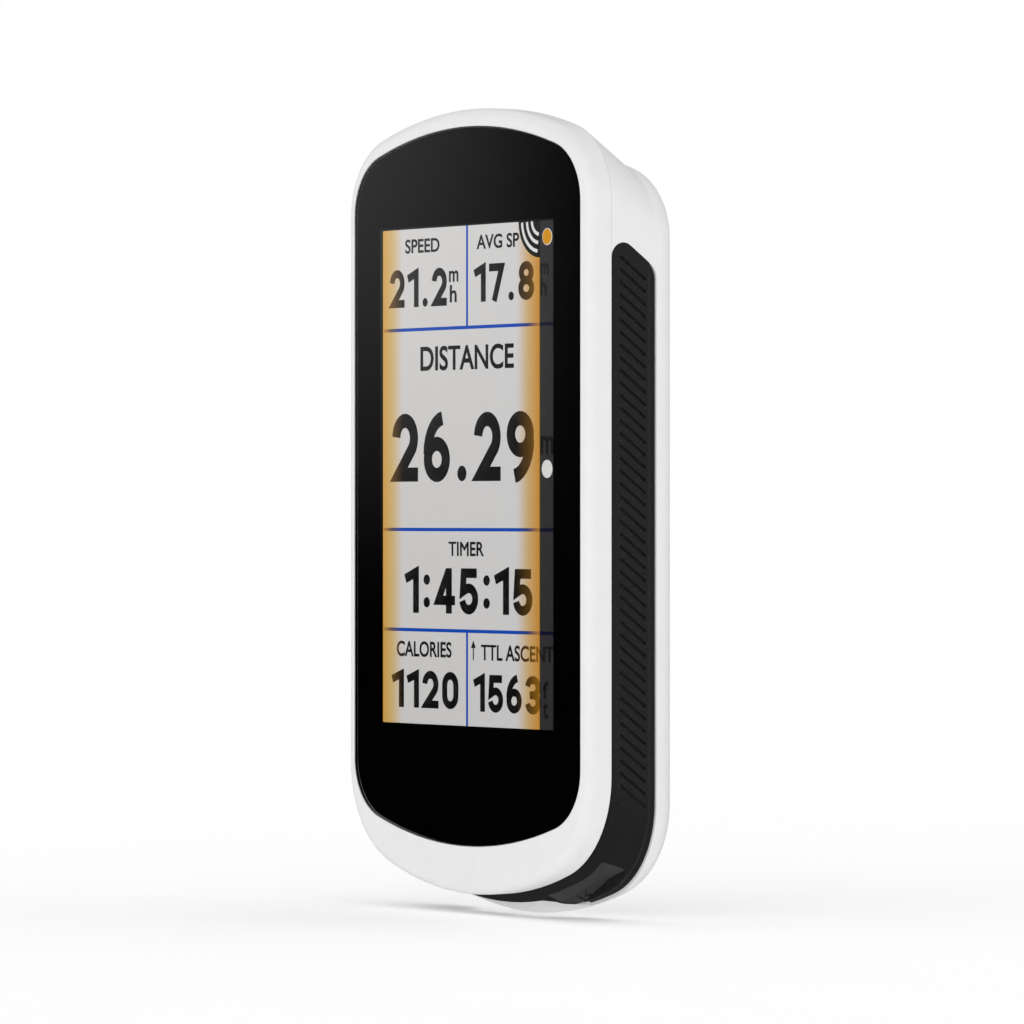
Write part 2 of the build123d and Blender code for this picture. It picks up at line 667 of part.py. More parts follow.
# Each cap works in a soft seal on the inside of the wall.
SEAL_CLEAR = 0.3
SEAL_WIDE = 1.0
with BuildPart() as corner_seal:
    add(corner_prism(SEAL_WIDE))
    add(core(WALL), mode=Mode.INTERSECT)
    add(core(WALL + 0.6), mode=Mode.SUBTRACT)
    add(corner_prism(SEAL_CLEAR), mode=Mode.SUBTRACT)
with BuildPart() as start_stop_seal:
    add(corner_seal.part)
finish(start_stop_seal.part, "start_stop_seal")
with BuildPart() as lap_seal:
    add(mirror(corner_seal.part, about=Plane.YZ))
finish(lap_seal.part, "lap_seal")
with BuildPart() as power_seal:
    add(power_prism(SEAL_WIDE, 24.7, 26.0))
    add(core(WALL), mode=Mode.INTERSECT)
    add(power_prism(SEAL_CLEAR, 24.0, 27.0), mode=Mode.SUBTRACT)
finish(power_seal.part, "power_seal")

# Tactile switches stand just beyond the stems' full stroke.
NUB_LENGTH = 0.15
NUB_R = 0.5
SWITCH_SIZE = (3.6, 1.7)
SWITCH_DEEP = 2.2
NUB_END = STEM_END + TRAVEL + SWITCH_GAP
with BuildPart() as corner_switch:
    with BuildSketch(corner_plane.offset(-NUB_END - NUB_LENGTH)):
        with Locations(STEM_AT):
            Rectangle(*SWITCH_SIZE)
    extrude(amount=-SWITCH_DEEP)
    with BuildSketch(corner_plane.offset(-NUB_END - NUB_LENGTH)):
        with Locations(STEM_AT):
            Circle(NUB_R)
    extrude(amount=NUB_LENGTH)
with BuildPart() as start_stop_switch:
    add(corner_switch.part)
finish(start_stop_switch.part, "start_stop_switch")
with BuildPart() as lap_switch:
    add(mirror(corner_switch.part, about=Plane.YZ))
finish(lap_switch.part, "lap_switch")
with BuildPart() as power_switch:
    with BuildSketch(Plane.YZ.offset(-POWER_SWITCH)):
        with Locations((-SWITCH_HEIGHT, POWER_Z)):
            Rectangle(SWITCH_SIZE[1], SWITCH_SIZE[0])
    extrude(amount=SWITCH_DEEP)
    with BuildSketch(Plane.YZ.offset(-POWER_SWITCH)):
        with Locations((-SWITCH_HEIGHT, POWER_Z)):
            Circle(NUB_R)
    extrude(amount=-NUB_LENGTH)
finish(power_switch.part, "power_switch")

# --------------------------------------------------------------------------------- USB port
with BuildPart() as usb_receptacle:
    add(block(*USB_SHELL, USB_LOW, BOARD_BACK, at=(0, USB_Z), corner=USB_ROUND))
    add(block(*USB_MOUTH, USB_LOW - 1, BOARD_BACK - 0.6, at=(0, USB_Z), corner=1.1),
        mode=Mode.SUBTRACT)
    add(block(*USB_BLADE, USB_LOW + 1.1, BOARD_BACK - 0.5, at=(0, USB_Z), corner=0.1))
finish(usb_receptacle.part, "usb_receptacle")

with BuildPart() as usb_gasket:
    add(block(11.4, 5.6, USB_PAD, USB_PAD + 1, at=(0, USB_Z), corner=2.4))
    add(block(*USB_SHELL, USB_PAD - 1, USB_PAD + 2, at=(0, USB_Z), corner=USB_ROUND),
        mode=Mode.SUBTRACT)
finish(usb_gasket.part, "usb_gasket")

with BuildPart() as usb_weather_cap:
    with BuildSketch(level(BACK)):
        with Locations((0, USB_Z)):
            SlotOverall(CAP_WIDTH, CAP_HEIGHT)
    extrude(amount=CAP_THICK)
    fillet(usb_weather_cap.edges().group_by(Axis.Y)[-1], radius=0.25)
    add(block(7.6, 1.9, BACK + CAP_THICK, 5.75, at=(0, USB_Z), corner=0.9))
    # finger lip on the free end
    with BuildSketch(level(BACK - 0.35)):
        with Locations((0, USB_Z - CAP_HEIGHT / 2 + 1.0)):
            SlotOverall(6.0, 0.9)
    extrude(amount=0.6)
    with BuildSketch(Plane.YZ.offset(-HINGE_LENGTH / 2)):
        with Locations((-BACK, HINGE_Z)):
            Circle(HINGE_R)
    extrude(amount=HINGE_LENGTH)
finish(usb_weather_cap.part, "usb_weather_cap")

with BuildPart() as cap_anchor:
    add(block(6.0, 1.0, BACK, BACK + CAP_THICK, at=(0, ANCHOR_Z), corner=0.45))
    add(disc(ANCHOR_PIN_R, BACK + CAP_THICK, FLOOR_INSIDE, at=(0, ANCHOR_Z)))
    add(disc(1.3, FLOOR_INSIDE, FLOOR_INSIDE + 0.8, at=(0, ANCHOR_Z)))
finish(cap_anchor.part, "cap_anchor")

# ---------------------------------------------------------------------- quarter-turn mount
with BuildPart() as mount_insert:
    add(disc(SPIGOT_R, 0, BACK))
    with BuildSketch(level(0)):
        Circle(LUG_R)
        Rectangle(2 * LUG_R, LUG_WIDTH, mode=Mode.INTERSECT)
    extrude(amount=LUG_THICK)
    end_edges = mount_insert.edges().group_by(Axis.Y)[-1].filter_by(GeomType.CIRCLE)
    chamfer([edge for edge in end_edges if edge.radius > SPIGOT_R + 1], length=0.3)
    # dish with the power contacts
    add(disc(DISH_R, 0, DISH_DEPTH), mode=Mode.SUBTRACT)
    for x in PAD_XS:
        add(disc(PAD_R, 0, BACK, at=(x, 0)), mode=Mode.SUBTRACT)
    # click notch in each lug
    with BuildSketch(level(0)):
        with Locations((LUG_R + 0.2, 0), (-LUG_R - 0.2, 0)):
            Circle(CLICK_R)
    extrude(amount=LUG_THICK, mode=Mode.SUBTRACT)
    # counterbored screw holes
    with BuildSketch(level(0)):
        with PolarLocations(MOUNT_SCREW_CIRCLE, MOUNT_SCREW_COUNT, start_angle=45):
            Circle(MOUNT_HEAD_R + MOUNT_FREE)
    extrude(amount=MOUNT_HEAD, mode=Mode.SUBTRACT)
    with BuildSketch(level(0)):
        with PolarLocations(MOUNT_SCREW_CIRCLE, MOUNT_SCREW_COUNT, start_angle=45):
            Circle(MOUNT_SHANK_R + MOUNT_FREE)
    extrude(amount=BACK, mode=Mode.SUBTRACT)
finish(mount_insert.part, "mount_insert")

HEAD_SINK = 0.5          # the heads lie this far below the end face
with BuildPart() as mount_screws:
    with BuildSketch(level(HEAD_SINK)):
        with PolarLocations(MOUNT_SCREW_CIRCLE, MOUNT_SCREW_COUNT, start_angle=45):
            Circle(MOUNT_HEAD_R)
    extrude(amount=MOUNT_HEAD - HEAD_SINK)
    with BuildSketch(level(MOUNT_HEAD)):
        with PolarLocations(MOUNT_SCREW_CIRCLE, MOUNT_SCREW_COUNT, start_angle=45):
            Circle(MOUNT_SHANK_R)
    extrude(amount=5.0)
    # six-lobed sockets
    with BuildSketch(level(HEAD_SINK)):
        with PolarLocations(MOUNT_SCREW_CIRCLE, MOUNT_SCREW_COUNT, start_angle=45):
            Circle(0.5)
            with PolarLocations(0.5, 6):
                Circle(0.18)
    extrude(amount=0.5, mode=Mode.SUBTRACT)
finish(mount_screws.part, "mount_screws")

CONTACT_TOP = 6.2
with BuildPart() as contact_pads:
    for x in PAD_XS:
        add(disc(PAD_R, DISH_DEPTH - 0.2, CONTACT_TOP, at=(x, 0)))
finish(contact_pads.part, "contact_pads")

with BuildPart() as contact_seal:
    with BuildSketch(level(BACK)):
        SlotOverall(*PAD_SLOT)
        with Locations(*[(x, 0) for x in PAD_XS]):
            Circle(PAD_R, mode=Mode.SUBTRACT)
    extrude(amount=FLOOR_INSIDE - BACK)
finish(contact_seal.part, "contact_seal")

with BuildPart() as contact_flex:
    add(ribbon([(CONTACT_TOP + 0.08, -1.5), (CONTACT_TOP + 0.08, 27.0), (BOARD_BACK, 27.0)],
               -4.8, 4.8, 0.15))
finish(contact_flex.part, "contact_flex")

with BuildPart() as vent_membrane:
    add(disc(2.5, FLOOR_INSIDE, FLOOR_INSIDE + 0.2, at=VENT_AT))
finish(vent_membrane.part, "vent_membrane")

with BuildPart() as lanyard_bar:
    with BuildSketch(Plane.XY.offset(LANYARD[1] - LANYARD_BAR / 2)):
        with Locations((LANYARD[0], -LANYARD_HEIGHT)):
            Circle(LANYARD_BAR_R)
    extrude(amount=LANYARD_BAR)
finish(lanyard_bar.part, "lanyard_bar")
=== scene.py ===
import json
import math

import bmesh
import bpy
from bpy.props import FloatProperty, FloatVectorProperty, PointerProperty
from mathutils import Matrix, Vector


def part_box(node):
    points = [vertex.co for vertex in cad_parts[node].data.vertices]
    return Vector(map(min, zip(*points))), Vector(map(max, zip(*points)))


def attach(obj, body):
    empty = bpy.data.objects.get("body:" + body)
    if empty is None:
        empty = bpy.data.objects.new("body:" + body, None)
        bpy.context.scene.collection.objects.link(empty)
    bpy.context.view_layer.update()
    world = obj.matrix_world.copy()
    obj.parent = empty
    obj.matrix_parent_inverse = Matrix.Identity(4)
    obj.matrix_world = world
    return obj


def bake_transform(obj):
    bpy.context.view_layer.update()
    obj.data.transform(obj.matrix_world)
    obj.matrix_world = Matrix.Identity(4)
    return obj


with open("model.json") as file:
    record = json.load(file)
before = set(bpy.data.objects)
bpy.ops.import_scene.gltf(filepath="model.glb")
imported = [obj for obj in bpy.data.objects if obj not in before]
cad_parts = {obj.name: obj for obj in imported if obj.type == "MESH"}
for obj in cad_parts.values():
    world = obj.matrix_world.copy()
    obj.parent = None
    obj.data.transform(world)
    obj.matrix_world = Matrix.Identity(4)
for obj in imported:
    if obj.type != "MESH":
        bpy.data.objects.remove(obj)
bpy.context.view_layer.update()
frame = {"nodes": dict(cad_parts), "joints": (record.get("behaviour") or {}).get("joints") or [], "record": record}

bl_info = {
    "name": "Cycling Computer Looks",
    "version": (1, 0, 0),
    "blender": (4, 5, 0),
    "location": "View3D > Sidebar > Cycling Computer",
    "description": "Finishes the packed cycling computer and adds its printed glass, lit screen and stage",
    "category": "Object",
}

# Lengths are in metres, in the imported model's frame: +Z up the screen, -Y towards the rider.
MM = 0.001
CASE = "case"
LENS_LOW, LENS_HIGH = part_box("cover_lens")
PANEL_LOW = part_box("display_panel")[0]
SHELL_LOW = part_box("rear_shell")[0]
HINGE = next(joint for joint in frame["joints"] if joint["name"] == "weather_cap_hinge")


# ------------------------------------------------------------------------------- properties
def length(name, description, default):
    """Property for a length, in metres."""
    return FloatProperty(name=name, description=description, default=default, unit="LENGTH")


def tint(name, description, default):
    """Property for a linear colour."""
    return FloatVectorProperty(name=name, description=description, default=default,
                               subtype="COLOR", min=0, max=1)


class ComputerSizes(bpy.types.PropertyGroup):
    """Sizes of the printed and lit parts of the display"""
    screen_width: length("Screen Width", "Width of the lit picture", 39.66 * MM)
    screen_height: length("Screen Height", "Height of the lit picture", 66.07 * MM)
    screen_centre: length(
        "Screen Centre", "Height of the picture's middle above the mount's axis", 5.305 * MM)
    screen_shift: length("Screen Shift", "Sideways place of the picture", -0.6 * MM)
    window_margin: length(
        "Window Margin", "Clear glass left round the picture by the border ink", 0.2 * MM)
    ink_thickness: length("Ink Thickness", "Thickness of the border ink on the glass", 0.04 * MM)
    layer: length("Layer", "Thickness of each layer of the lit picture", 0.01 * MM)
    rule_width: length("Rule Width", "Width of the lines between the data fields", 0.45 * MM)


class ComputerColours(bpy.types.PropertyGroup):
    """Base colours of the outside finishes"""
    shell: tint("Shell", "White of the front and rear shells", (0.71, 0.71, 0.706))
    grip: tint("Grip", "Black of the grip band and the weather cap", (0.0085, 0.0085, 0.009))
    button: tint("Button", "Black of the three buttons", (0.030, 0.030, 0.031))
    mount: tint("Mount", "Black of the quarter-turn mount", (0.018, 0.018, 0.019))
    rule: tint("Rule", "Blue of the lines between the data fields", (0.004, 0.062, 0.41))


class ComputerStage(bpy.types.PropertyGroup):
    """Floor, light and camera"""
    floor_gap: length("Floor Gap", "Room between the case and the floor", 0.05 * MM)
    floor_size: length("Floor Size", "Side of the floor", 6.0)
    floor_glow: FloatProperty(
        name="Floor Glow", description="Light added to the floor, so that it fades into the backdrop",
        default=0.2, min=0)
    under_depth: length("Under Light Depth", "Distance of the soft light below the case", 0.12)
    under_size: length("Under Light Size", "Diameter of the soft light below the case", 0.5)
    under_power: FloatProperty(
        name="Under Light Power", description="Power of the soft light below the case",
        default=0.5, min=0, unit="POWER")
    dome: FloatProperty(
        name="Dome Light", description="Brightness of the white dome that lights the stage",
        default=1.42, min=0)
    distance: length("Camera Distance", "Distance of the camera from the object's middle", 0.81162)
    turn: FloatProperty(
        name="Camera Turn", description="Angle of the camera from the screen's normal",
        default=math.radians(54.13), unit="ROTATION")
    swing: FloatProperty(
        name="Camera Swing", description="Angle of the view direction from the screen's normal",
        default=math.radians(54.8), unit="ROTATION")
    lens: FloatProperty(
        name="Focal Length", description="Focal length in millimetres on a 36 mm sensor",
        default=213.47, min=1)
    rise: FloatProperty(
        name="Camera Shift", description="Vertical shift of the picture, as a share of its width",
        default=0.00390625)


# --------------------------------------------------------------------------- shader helpers
def grey(level):
    """Linear value of a display level from 0 to 255."""
    share = level / 255
    return share / 12.92 if share <= 0.04045 else ((share + 0.055) / 1.055) ** 2.4


def colour(red, green, blue):
    """Linear colour of three display levels from 0 to 255."""
    return grey(red), grey(green), grey(blue), 1.0


def node(tree, kind, inputs=None, **settings):
    """Add a shader node; an input may be a value or another node's output."""
    made = tree.nodes.new("ShaderNode" + kind)
    for name, value in settings.items():
        setattr(made, name, value)
    for name, value in (inputs or {}).items():
        if isinstance(value, bpy.types.NodeSocket):
            tree.links.new(value, made.inputs[name])
        else:
            made.inputs[name].default_value = value
    return made


def maths(tree, operation, first, second=0.0, clamp=False):
    """Output of a Math node."""
    return node(tree, "Math", {0: first, 1: second}, operation=operation, use_clamp=clamp).outputs[0]


def scaled(tree, value, gain, base, clamp=False):
    """A value times a gain, added to a base."""
    return maths(tree, "ADD", maths(tree, "MULTIPLY", value, gain), base, clamp)


def stretched(tree, value, low, gain):
    """How far a value lies above low, times a gain, held between 0 and 1."""
    return maths(tree, "MULTIPLY", maths(tree, "SUBTRACT", value, low), gain, clamp=True)


def plug(tree, shader, outputs):
    """Feed the shader's named inputs."""
    for name, output in outputs.items():
        tree.links.new(output, shader.inputs[name])


def raised(tree, height, strength, depth, **inputs):
    """Normal of a surface raised by a height, to a depth in metres."""
    return node(tree, "Bump", {"Strength": strength, "Distance": depth, "Height": height,
                               **inputs}).outputs[0]


def mix_colours(tree, share, first, second):
    """Colour between two others."""
    mixed = node(tree, "Mix", {"Factor": share}, data_type="RGBA")
    for socket, value in ((mixed.inputs[6], first), (mixed.inputs[7], second)):
        if isinstance(value, bpy.types.NodeSocket):
            tree.links.new(value, socket)
        else:
            socket.default_value = value
    return mixed.outputs[2]


def ramp(tree, factor, stops):
    """Colour ramp with (place, colour) stops."""
    made = node(tree, "ValToRGB", {"Fac": factor})
    elements = made.color_ramp.elements
    while len(elements) < len(stops):
        elements.new(0.5)
    for element, (place, value) in zip(elements, stops):
        element.position = place
        element.color = value
    return made.outputs["Color"]


def object_place(tree):
    """Object coordinates, in metres."""
    return node(tree, "TexCoord").outputs["Object"]


def new_group(name, inputs, outputs):
    """Empty shader node group with named float or vector sockets."""
    tree = bpy.data.node_groups.new(name, "ShaderNodeTree")
    for socket, kind, default in inputs:
        made = tree.interface.new_socket(socket, in_out="INPUT", socket_type=kind)
        if default is not None:
            made.default_value = default
    for socket in outputs:
        tree.interface.new_socket(socket, in_out="OUTPUT", socket_type="NodeSocketFloat")
    return tree, tree.nodes.new("NodeGroupInput"), tree.nodes.new("NodeGroupOutput")


def use_group(tree, name, **values):
    """Node that places a shared group, with its inputs set."""
    made = tree.nodes.new("ShaderNodeGroup")
    made.node_tree = bpy.data.node_groups[name]
    for socket, value in values.items():
        if isinstance(value, bpy.types.NodeSocket):
            tree.links.new(value, made.inputs[socket])
        else:
            made.inputs[socket].default_value = value
    return made


# ----------------------------------------------------------------------------- shared groups
def build_grain_group():
    """Moulded grain: shallow cells with a softer mottle over them."""
    tree, given, result = new_group(
        "moulded_grain",
        [("Vector", "NodeSocketVector", None), ("Scale", "NodeSocketFloat", 9000.0)],
        ["Height", "Mottle"])
    vector, scale = given.outputs["Vector"], given.outputs["Scale"]
    cells = node(tree, "TexVoronoi", {"Vector": vector, "Scale": scale}, feature="SMOOTH_F1")
    fine = node(tree, "TexNoise", {"Vector": vector, "Scale": scale, "Detail": 3.0})
    mottle = node(tree, "TexNoise", {"Vector": vector, "Scale": maths(tree, "MULTIPLY", scale, 0.03),
                                     "Detail": 4.0})
    height = maths(tree, "ADD", cells.outputs["Distance"], maths(tree, "MULTIPLY", fine.outputs[0], 0.6))
    tree.links.new(height, result.inputs["Height"])
    tree.links.new(mottle.outputs[0], result.inputs["Mottle"])


def build_wear_group():
    """Edge wear: a broken mask along the outer edges."""
    tree, given, result = new_group(
        "edge_wear",
        [("Vector", "NodeSocketVector", None), ("Radius", "NodeSocketFloat", 0.00015),
         ("Amount", "NodeSocketFloat", 0.5)],
        ["Mask"])
    rounded = node(tree, "Bevel", {"Radius": given.outputs["Radius"]}, samples=4)
    plain = node(tree, "NewGeometry")
    facing = node(tree, "VectorMath", {0: rounded.outputs[0], 1: plain.outputs["Normal"]},
                  operation="DOT_PRODUCT")
    edge = maths(tree, "MULTIPLY", maths(tree, "SUBTRACT", 1.0, facing.outputs["Value"]), 7.0, clamp=True)
    broken = node(tree, "TexNoise", {"Vector": given.outputs["Vector"], "Scale": 900.0, "Detail": 4.0})
    patchy = stretched(tree, broken.outputs[0], 0.35, 2.2)
    mask = maths(tree, "MULTIPLY", maths(tree, "MULTIPLY", edge, patchy), given.outputs["Amount"],
                 clamp=True)
    tree.links.new(mask, result.inputs["Mask"])


def build_dust_group():
    """Dust: fine specks that lie on what faces up."""
    tree, given, result = new_group(
        "fine_dust",
        [("Vector", "NodeSocketVector", None), ("Amount", "NodeSocketFloat", 0.2)],
        ["Mask"])
    facing = node(tree, "SeparateXYZ", {0: node(tree, "NewGeometry").outputs["Normal"]}).outputs["Z"]
    settled = scaled(tree, facing, 0.5, 0.5, clamp=True)
    specks = node(tree, "TexNoise", {"Vector": given.outputs["Vector"], "Scale": 2600.0, "Detail": 5.0,
                                     "Roughness": 0.75})
    sparse = stretched(tree, specks.outputs[0], 0.56, 6.0)
    mask = maths(tree, "MULTIPLY", maths(tree, "MULTIPLY", sparse, settled), given.outputs["Amount"])
    tree.links.new(mask, result.inputs["Mask"])


def build_brushed_group():
    """Brushed metal: streaks along local X after the vector is stretched."""
    tree, given, result = new_group(
        "brushed_streaks",
        [("Vector", "NodeSocketVector", None), ("Scale", "NodeSocketFloat", 6000.0)],
        ["Streak"])
    stretched = node(tree, "VectorMath", {0: given.outputs["Vector"], 1: (0.03, 1.0, 1.0)},
                     operation="MULTIPLY")
    streak = node(tree, "TexNoise", {"Vector": stretched.outputs[0], "Scale": given.outputs["Scale"],
                                     "Detail": 3.0})
    tree.links.new(streak.outputs[0], result.inputs["Streak"])


# --------------------------------------------------------------------------------- finishes
def start_material(name):
    """New node material: the material, its tree and its Principled BSDF."""
    material = bpy.data.materials.new(name)
    material.use_nodes = True
    return material, material.node_tree, material.node_tree.nodes["Principled BSDF"]


WEAR_SHARE = 0.25        # how pale worn edges may get
SHADE = 0.93             # darker end of the mottle
DUST = (0.42, 0.40, 0.37, 1.0)
DUST_DULLS = 0.3         # dust makes a surface this much rougher
WEAR_POLISHES = 0.15     # and wear makes it this much smoother
METAL_EDGE = 0.1 * MM
METAL_ROUND = 0.08 * MM
METAL_SPREAD = 0.2       # streaks' share of the roughness
COLUMNS = 282            # picture elements across the screen
# painted shade on the lit picture: brighter at its head, darker towards its foot
PAINTED_SHADE_RISE = 0.12           # the painted shade makes the picture this much brighter at its head
PAINTED_SHADE_FOOT = 0.90
LATTICE = 0.08           # how far the gaps between picture elements show
LATTICE_BASE = 0.945


def moulded(name, base, roughness, grain, depth, wear=0.0, wear_tint=0.35, dust=0.0, radius=0.12 * MM,
            spread=0.08, specular=0.5):
    """Moulded plastic or rubber with grain, mottled gloss, rounded edges, edge wear and dust."""
    material, tree, shader = start_material(name)
    place = object_place(tree)
    texture = use_group(tree, "moulded_grain", Vector=place, Scale=grain)
    mottle = texture.outputs["Mottle"]
    worn = use_group(tree, "edge_wear", Vector=place, Radius=radius, Amount=wear).outputs["Mask"]
    dusty = use_group(tree, "fine_dust", Vector=place, Amount=dust).outputs["Mask"]
    base = (*base[:3], 1.0)
    pale = tuple(value + (1 - value) * wear_tint * WEAR_SHARE for value in base[:3]) + (1.0,)
    shade = tuple(value * SHADE for value in base[:3]) + (1.0,)
    rubbed = mix_colours(tree, worn, mix_colours(tree, mottle, shade, base), pale)
    varied = scaled(tree, mottle, spread, roughness - spread / 2)
    duller = maths(tree, "ADD", varied, maths(tree, "MULTIPLY", dusty, DUST_DULLS), clamp=True)
    smooth = maths(tree, "SUBTRACT", duller, maths(tree, "MULTIPLY", worn, WEAR_POLISHES), clamp=True)
    rounded = node(tree, "Bevel", {"Radius": radius}, samples=4)
    plug(tree, shader, {
        "Base Color": mix_colours(tree, dusty, rubbed, DUST), "Roughness": smooth,
        "Normal": raised(tree, texture.outputs["Height"], 0.6, depth, Normal=rounded.outputs[0])})
    shader.inputs["Specular IOR Level"].default_value = specular
    return material


def metal(name, base, roughness, scale=6000.0, depth=1.5e-6, tarnish=0.85, turn=(0.0, 0.0, 0.0)):
    """Brushed or stamped metal with streaks, mottled tarnish and rounded edges."""
    material, tree, shader = start_material(name)
    place = node(tree, "Mapping", {"Vector": object_place(tree), "Rotation": turn}).outputs[0]
    streak = use_group(tree, "brushed_streaks", Vector=place, Scale=scale).outputs["Streak"]
    mottle = use_group(tree, "moulded_grain", Vector=place, Scale=scale).outputs["Mottle"]
    worn = use_group(tree, "edge_wear", Vector=place, Radius=METAL_EDGE, Amount=0.5).outputs["Mask"]
    dark = tuple(value * tarnish for value in base[:3]) + (1.0,)
    bright = tuple(min(1.0, value * 1.15) for value in base[:3]) + (1.0,)
    tarnished = mix_colours(tree, mottle, dark, (*base[:3], 1.0))
    rounded = node(tree, "Bevel", {"Radius": METAL_ROUND}, samples=4)
    plug(tree, shader, {
        "Base Color": mix_colours(tree, worn, tarnished, bright),
        "Roughness": scaled(tree, streak, METAL_SPREAD, roughness - METAL_SPREAD / 2),
        "Normal": raised(tree, streak, 0.5, depth, Normal=rounded.outputs[0])})
    shader.inputs["Metallic"].default_value = 1.0
    return material


def clear(name, base, roughness, ior, smudge):
    """Clear glass or film, with faint smudges in its gloss."""
    material, tree, shader = start_material(name)
    place = object_place(tree)
    cloud = node(tree, "TexNoise", {"Vector": place, "Scale": 90.0, "Detail": 6.0, "Distortion": 0.4})
    mottle = use_group(tree, "moulded_grain", Vector=place, Scale=30000.0).outputs["Mottle"]
    deeper = tuple(value * 0.985 for value in base[:3]) + (1.0,)
    plug(tree, shader, {
        "Base Color": mix_colours(tree, mottle, deeper, (*base[:3], 1.0)),
        "Roughness": scaled(tree, stretched(tree, cloud.outputs[0], 0.5, 2.0), smudge, roughness)})
    shader.inputs["Transmission Weight"].default_value = 1.0
    shader.inputs["IOR"].default_value = ior
    return material


def board_finish(name):
    """Green solder mask over copper tracks."""
    material, tree, shader = start_material(name)
    place = object_place(tree)
    turned = node(tree, "Mapping", {"Vector": place, "Rotation": (math.pi / 2, 0.0, 0.0)}).outputs[0]
    runs = node(tree, "TexBrick", {"Vector": turned, "Scale": 520.0, "Mortar Size": 0.12, "Bias": 0.0,
                                   "Brick Width": 1.7, "Row Height": 0.45}, offset=0.37).outputs["Fac"]
    mottle = use_group(tree, "moulded_grain", Vector=place, Scale=7000.0).outputs["Mottle"]
    tracks = mix_colours(tree, runs, (0.012, 0.105, 0.045, 1.0), (0.03, 0.19, 0.075, 1.0))
    plug(tree, shader, {
        "Base Color": mix_colours(tree, maths(tree, "MULTIPLY", mottle, 0.3), tracks,
                                  (0.008, 0.07, 0.03, 1.0)),
        "Roughness": scaled(tree, mottle, 0.1, 0.25),
        "Normal": raised(tree, runs, 0.6, 2e-5)})
    return material


def flex_finish(name):
    """Amber film with copper conductors along it."""
    material, tree, shader = start_material(name)
    place = object_place(tree)
    lines = node(tree, "TexWave", {"Vector": place, "Scale": 500.0, "Distortion": 0.0},
                 bands_direction="X", wave_profile="SIN").outputs["Fac"]
    mottle = use_group(tree, "moulded_grain", Vector=place, Scale=8000.0).outputs["Mottle"]
    copper = mix_colours(tree, lines, (0.42, 0.17, 0.03, 1.0), (0.63, 0.33, 0.13, 1.0))
    plug(tree, shader, {
        "Base Color": mix_colours(tree, maths(tree, "MULTIPLY", mottle, 0.4), copper,
                                  (0.30, 0.12, 0.02, 1.0)),
        "Roughness": scaled(tree, mottle, 0.15, 0.25),
        "Normal": raised(tree, lines, 0.5, 8e-6)})
    return material


def foil_finish(name):
    """Crinkled laminated foil of the battery pouch."""
    material, tree, shader = start_material(name)
    place = object_place(tree)
    folds = node(tree, "TexVoronoi", {"Vector": place, "Scale": 160.0}, feature="F2").outputs["Distance"]
    soft = node(tree, "TexNoise", {"Vector": place, "Scale": 300.0, "Detail": 5.0}).outputs[0]
    plug(tree, shader, {
        "Base Color": mix_colours(tree, soft, (0.42, 0.43, 0.45, 1.0), (0.62, 0.63, 0.65, 1.0)),
        "Roughness": scaled(tree, soft, 0.25, 0.2),
        "Normal": raised(tree, folds, 0.5, 6e-5)})
    shader.inputs["Metallic"].default_value = 1.0
    return material


def membrane_finish(name):
    """White felted membrane of the vent."""
    material, tree, shader = start_material(name)
    fibres = node(tree, "TexNoise", {"Vector": object_place(tree), "Scale": 5200.0, "Detail": 8.0,
                                     "Distortion": 1.4}).outputs[0]
    plug(tree, shader, {
        "Base Color": mix_colours(tree, fibres, (0.68, 0.68, 0.67, 1.0), (0.86, 0.86, 0.85, 1.0)),
        "Roughness": scaled(tree, fibres, 0.2, 0.7),
        "Normal": raised(tree, fibres, 0.7, 2e-5)})
    return material


def lit(name, stops, strength=1.0):
    """Lit layer of the picture: stops give its colour across the screen, and a painted shade darkens it downwards.
    """
    sizes = bpy.context.scene.computer_sizes
    material, tree, shader = start_material(name)
    place = node(tree, "SeparateXYZ", {0: object_place(tree)}).outputs
    left = sizes.screen_shift - sizes.screen_width / 2
    foot = sizes.screen_centre - sizes.screen_height / 2
    across = stretched(tree, place["X"], left, 1 / sizes.screen_width)
    up = stretched(tree, place["Z"], foot, 1 / sizes.screen_height)
    # painted shade: the picture's glow is made darker from its head down to its foot
    painted_shade = scaled(tree, up, PAINTED_SHADE_RISE, PAINTED_SHADE_FOOT)
    # rows and columns of picture elements
    pitch = sizes.screen_width / COLUMNS
    rows = [maths(tree, "PINGPONG", maths(tree, "DIVIDE", place[axis], pitch), 0.5) for axis in "XZ"]
    cell = maths(tree, "MULTIPLY", maths(tree, "MINIMUM", *rows), 5.0, clamp=True)
    lattice = scaled(tree, cell, LATTICE, LATTICE_BASE)
    glow = node(tree, "VectorMath", {0: ramp(tree, across, stops),
                                     "Scale": maths(tree, "MULTIPLY", painted_shade, lattice)}, operation="SCALE")
    plug(tree, shader, {"Emission Color": glow.outputs[0], "Roughness": scaled(tree, cell, 0.1, 0.45)})
    shader.inputs["Emission Strength"].default_value = strength
    shader.inputs["Base Color"].default_value = (0.01, 0.01, 0.01, 1.0)
    shader.inputs["Specular IOR Level"].default_value = 0.1
    return material


def dress(material, *nodes):
    """Give CAD nodes a finish."""
    for name in nodes:
        for slot in frame["nodes"][name].material_slots:
            slot.material = material
        if not frame["nodes"][name].material_slots:
            frame["nodes"][name].data.materials.append(material)


def nodes_of(slot_name):
    """CAD nodes that the record gives a material slot."""
    return [part["node"] for part in frame["record"]["subparts"] if part["material_slot"] == slot_name]


# ----------------------------------------------------------------------------- mesh helpers
def deselect():
    """Leave edit mode and clear the selection."""
    if bpy.context.object and bpy.context.object.mode != "OBJECT":
        bpy.ops.object.mode_set(mode="OBJECT")
    bpy.ops.object.select_all(action="DESELECT")


def activate(piece):
    """Make one piece the only one selected."""
    deselect()
    piece.select_set(True)
    bpy.context.view_layer.objects.active = piece


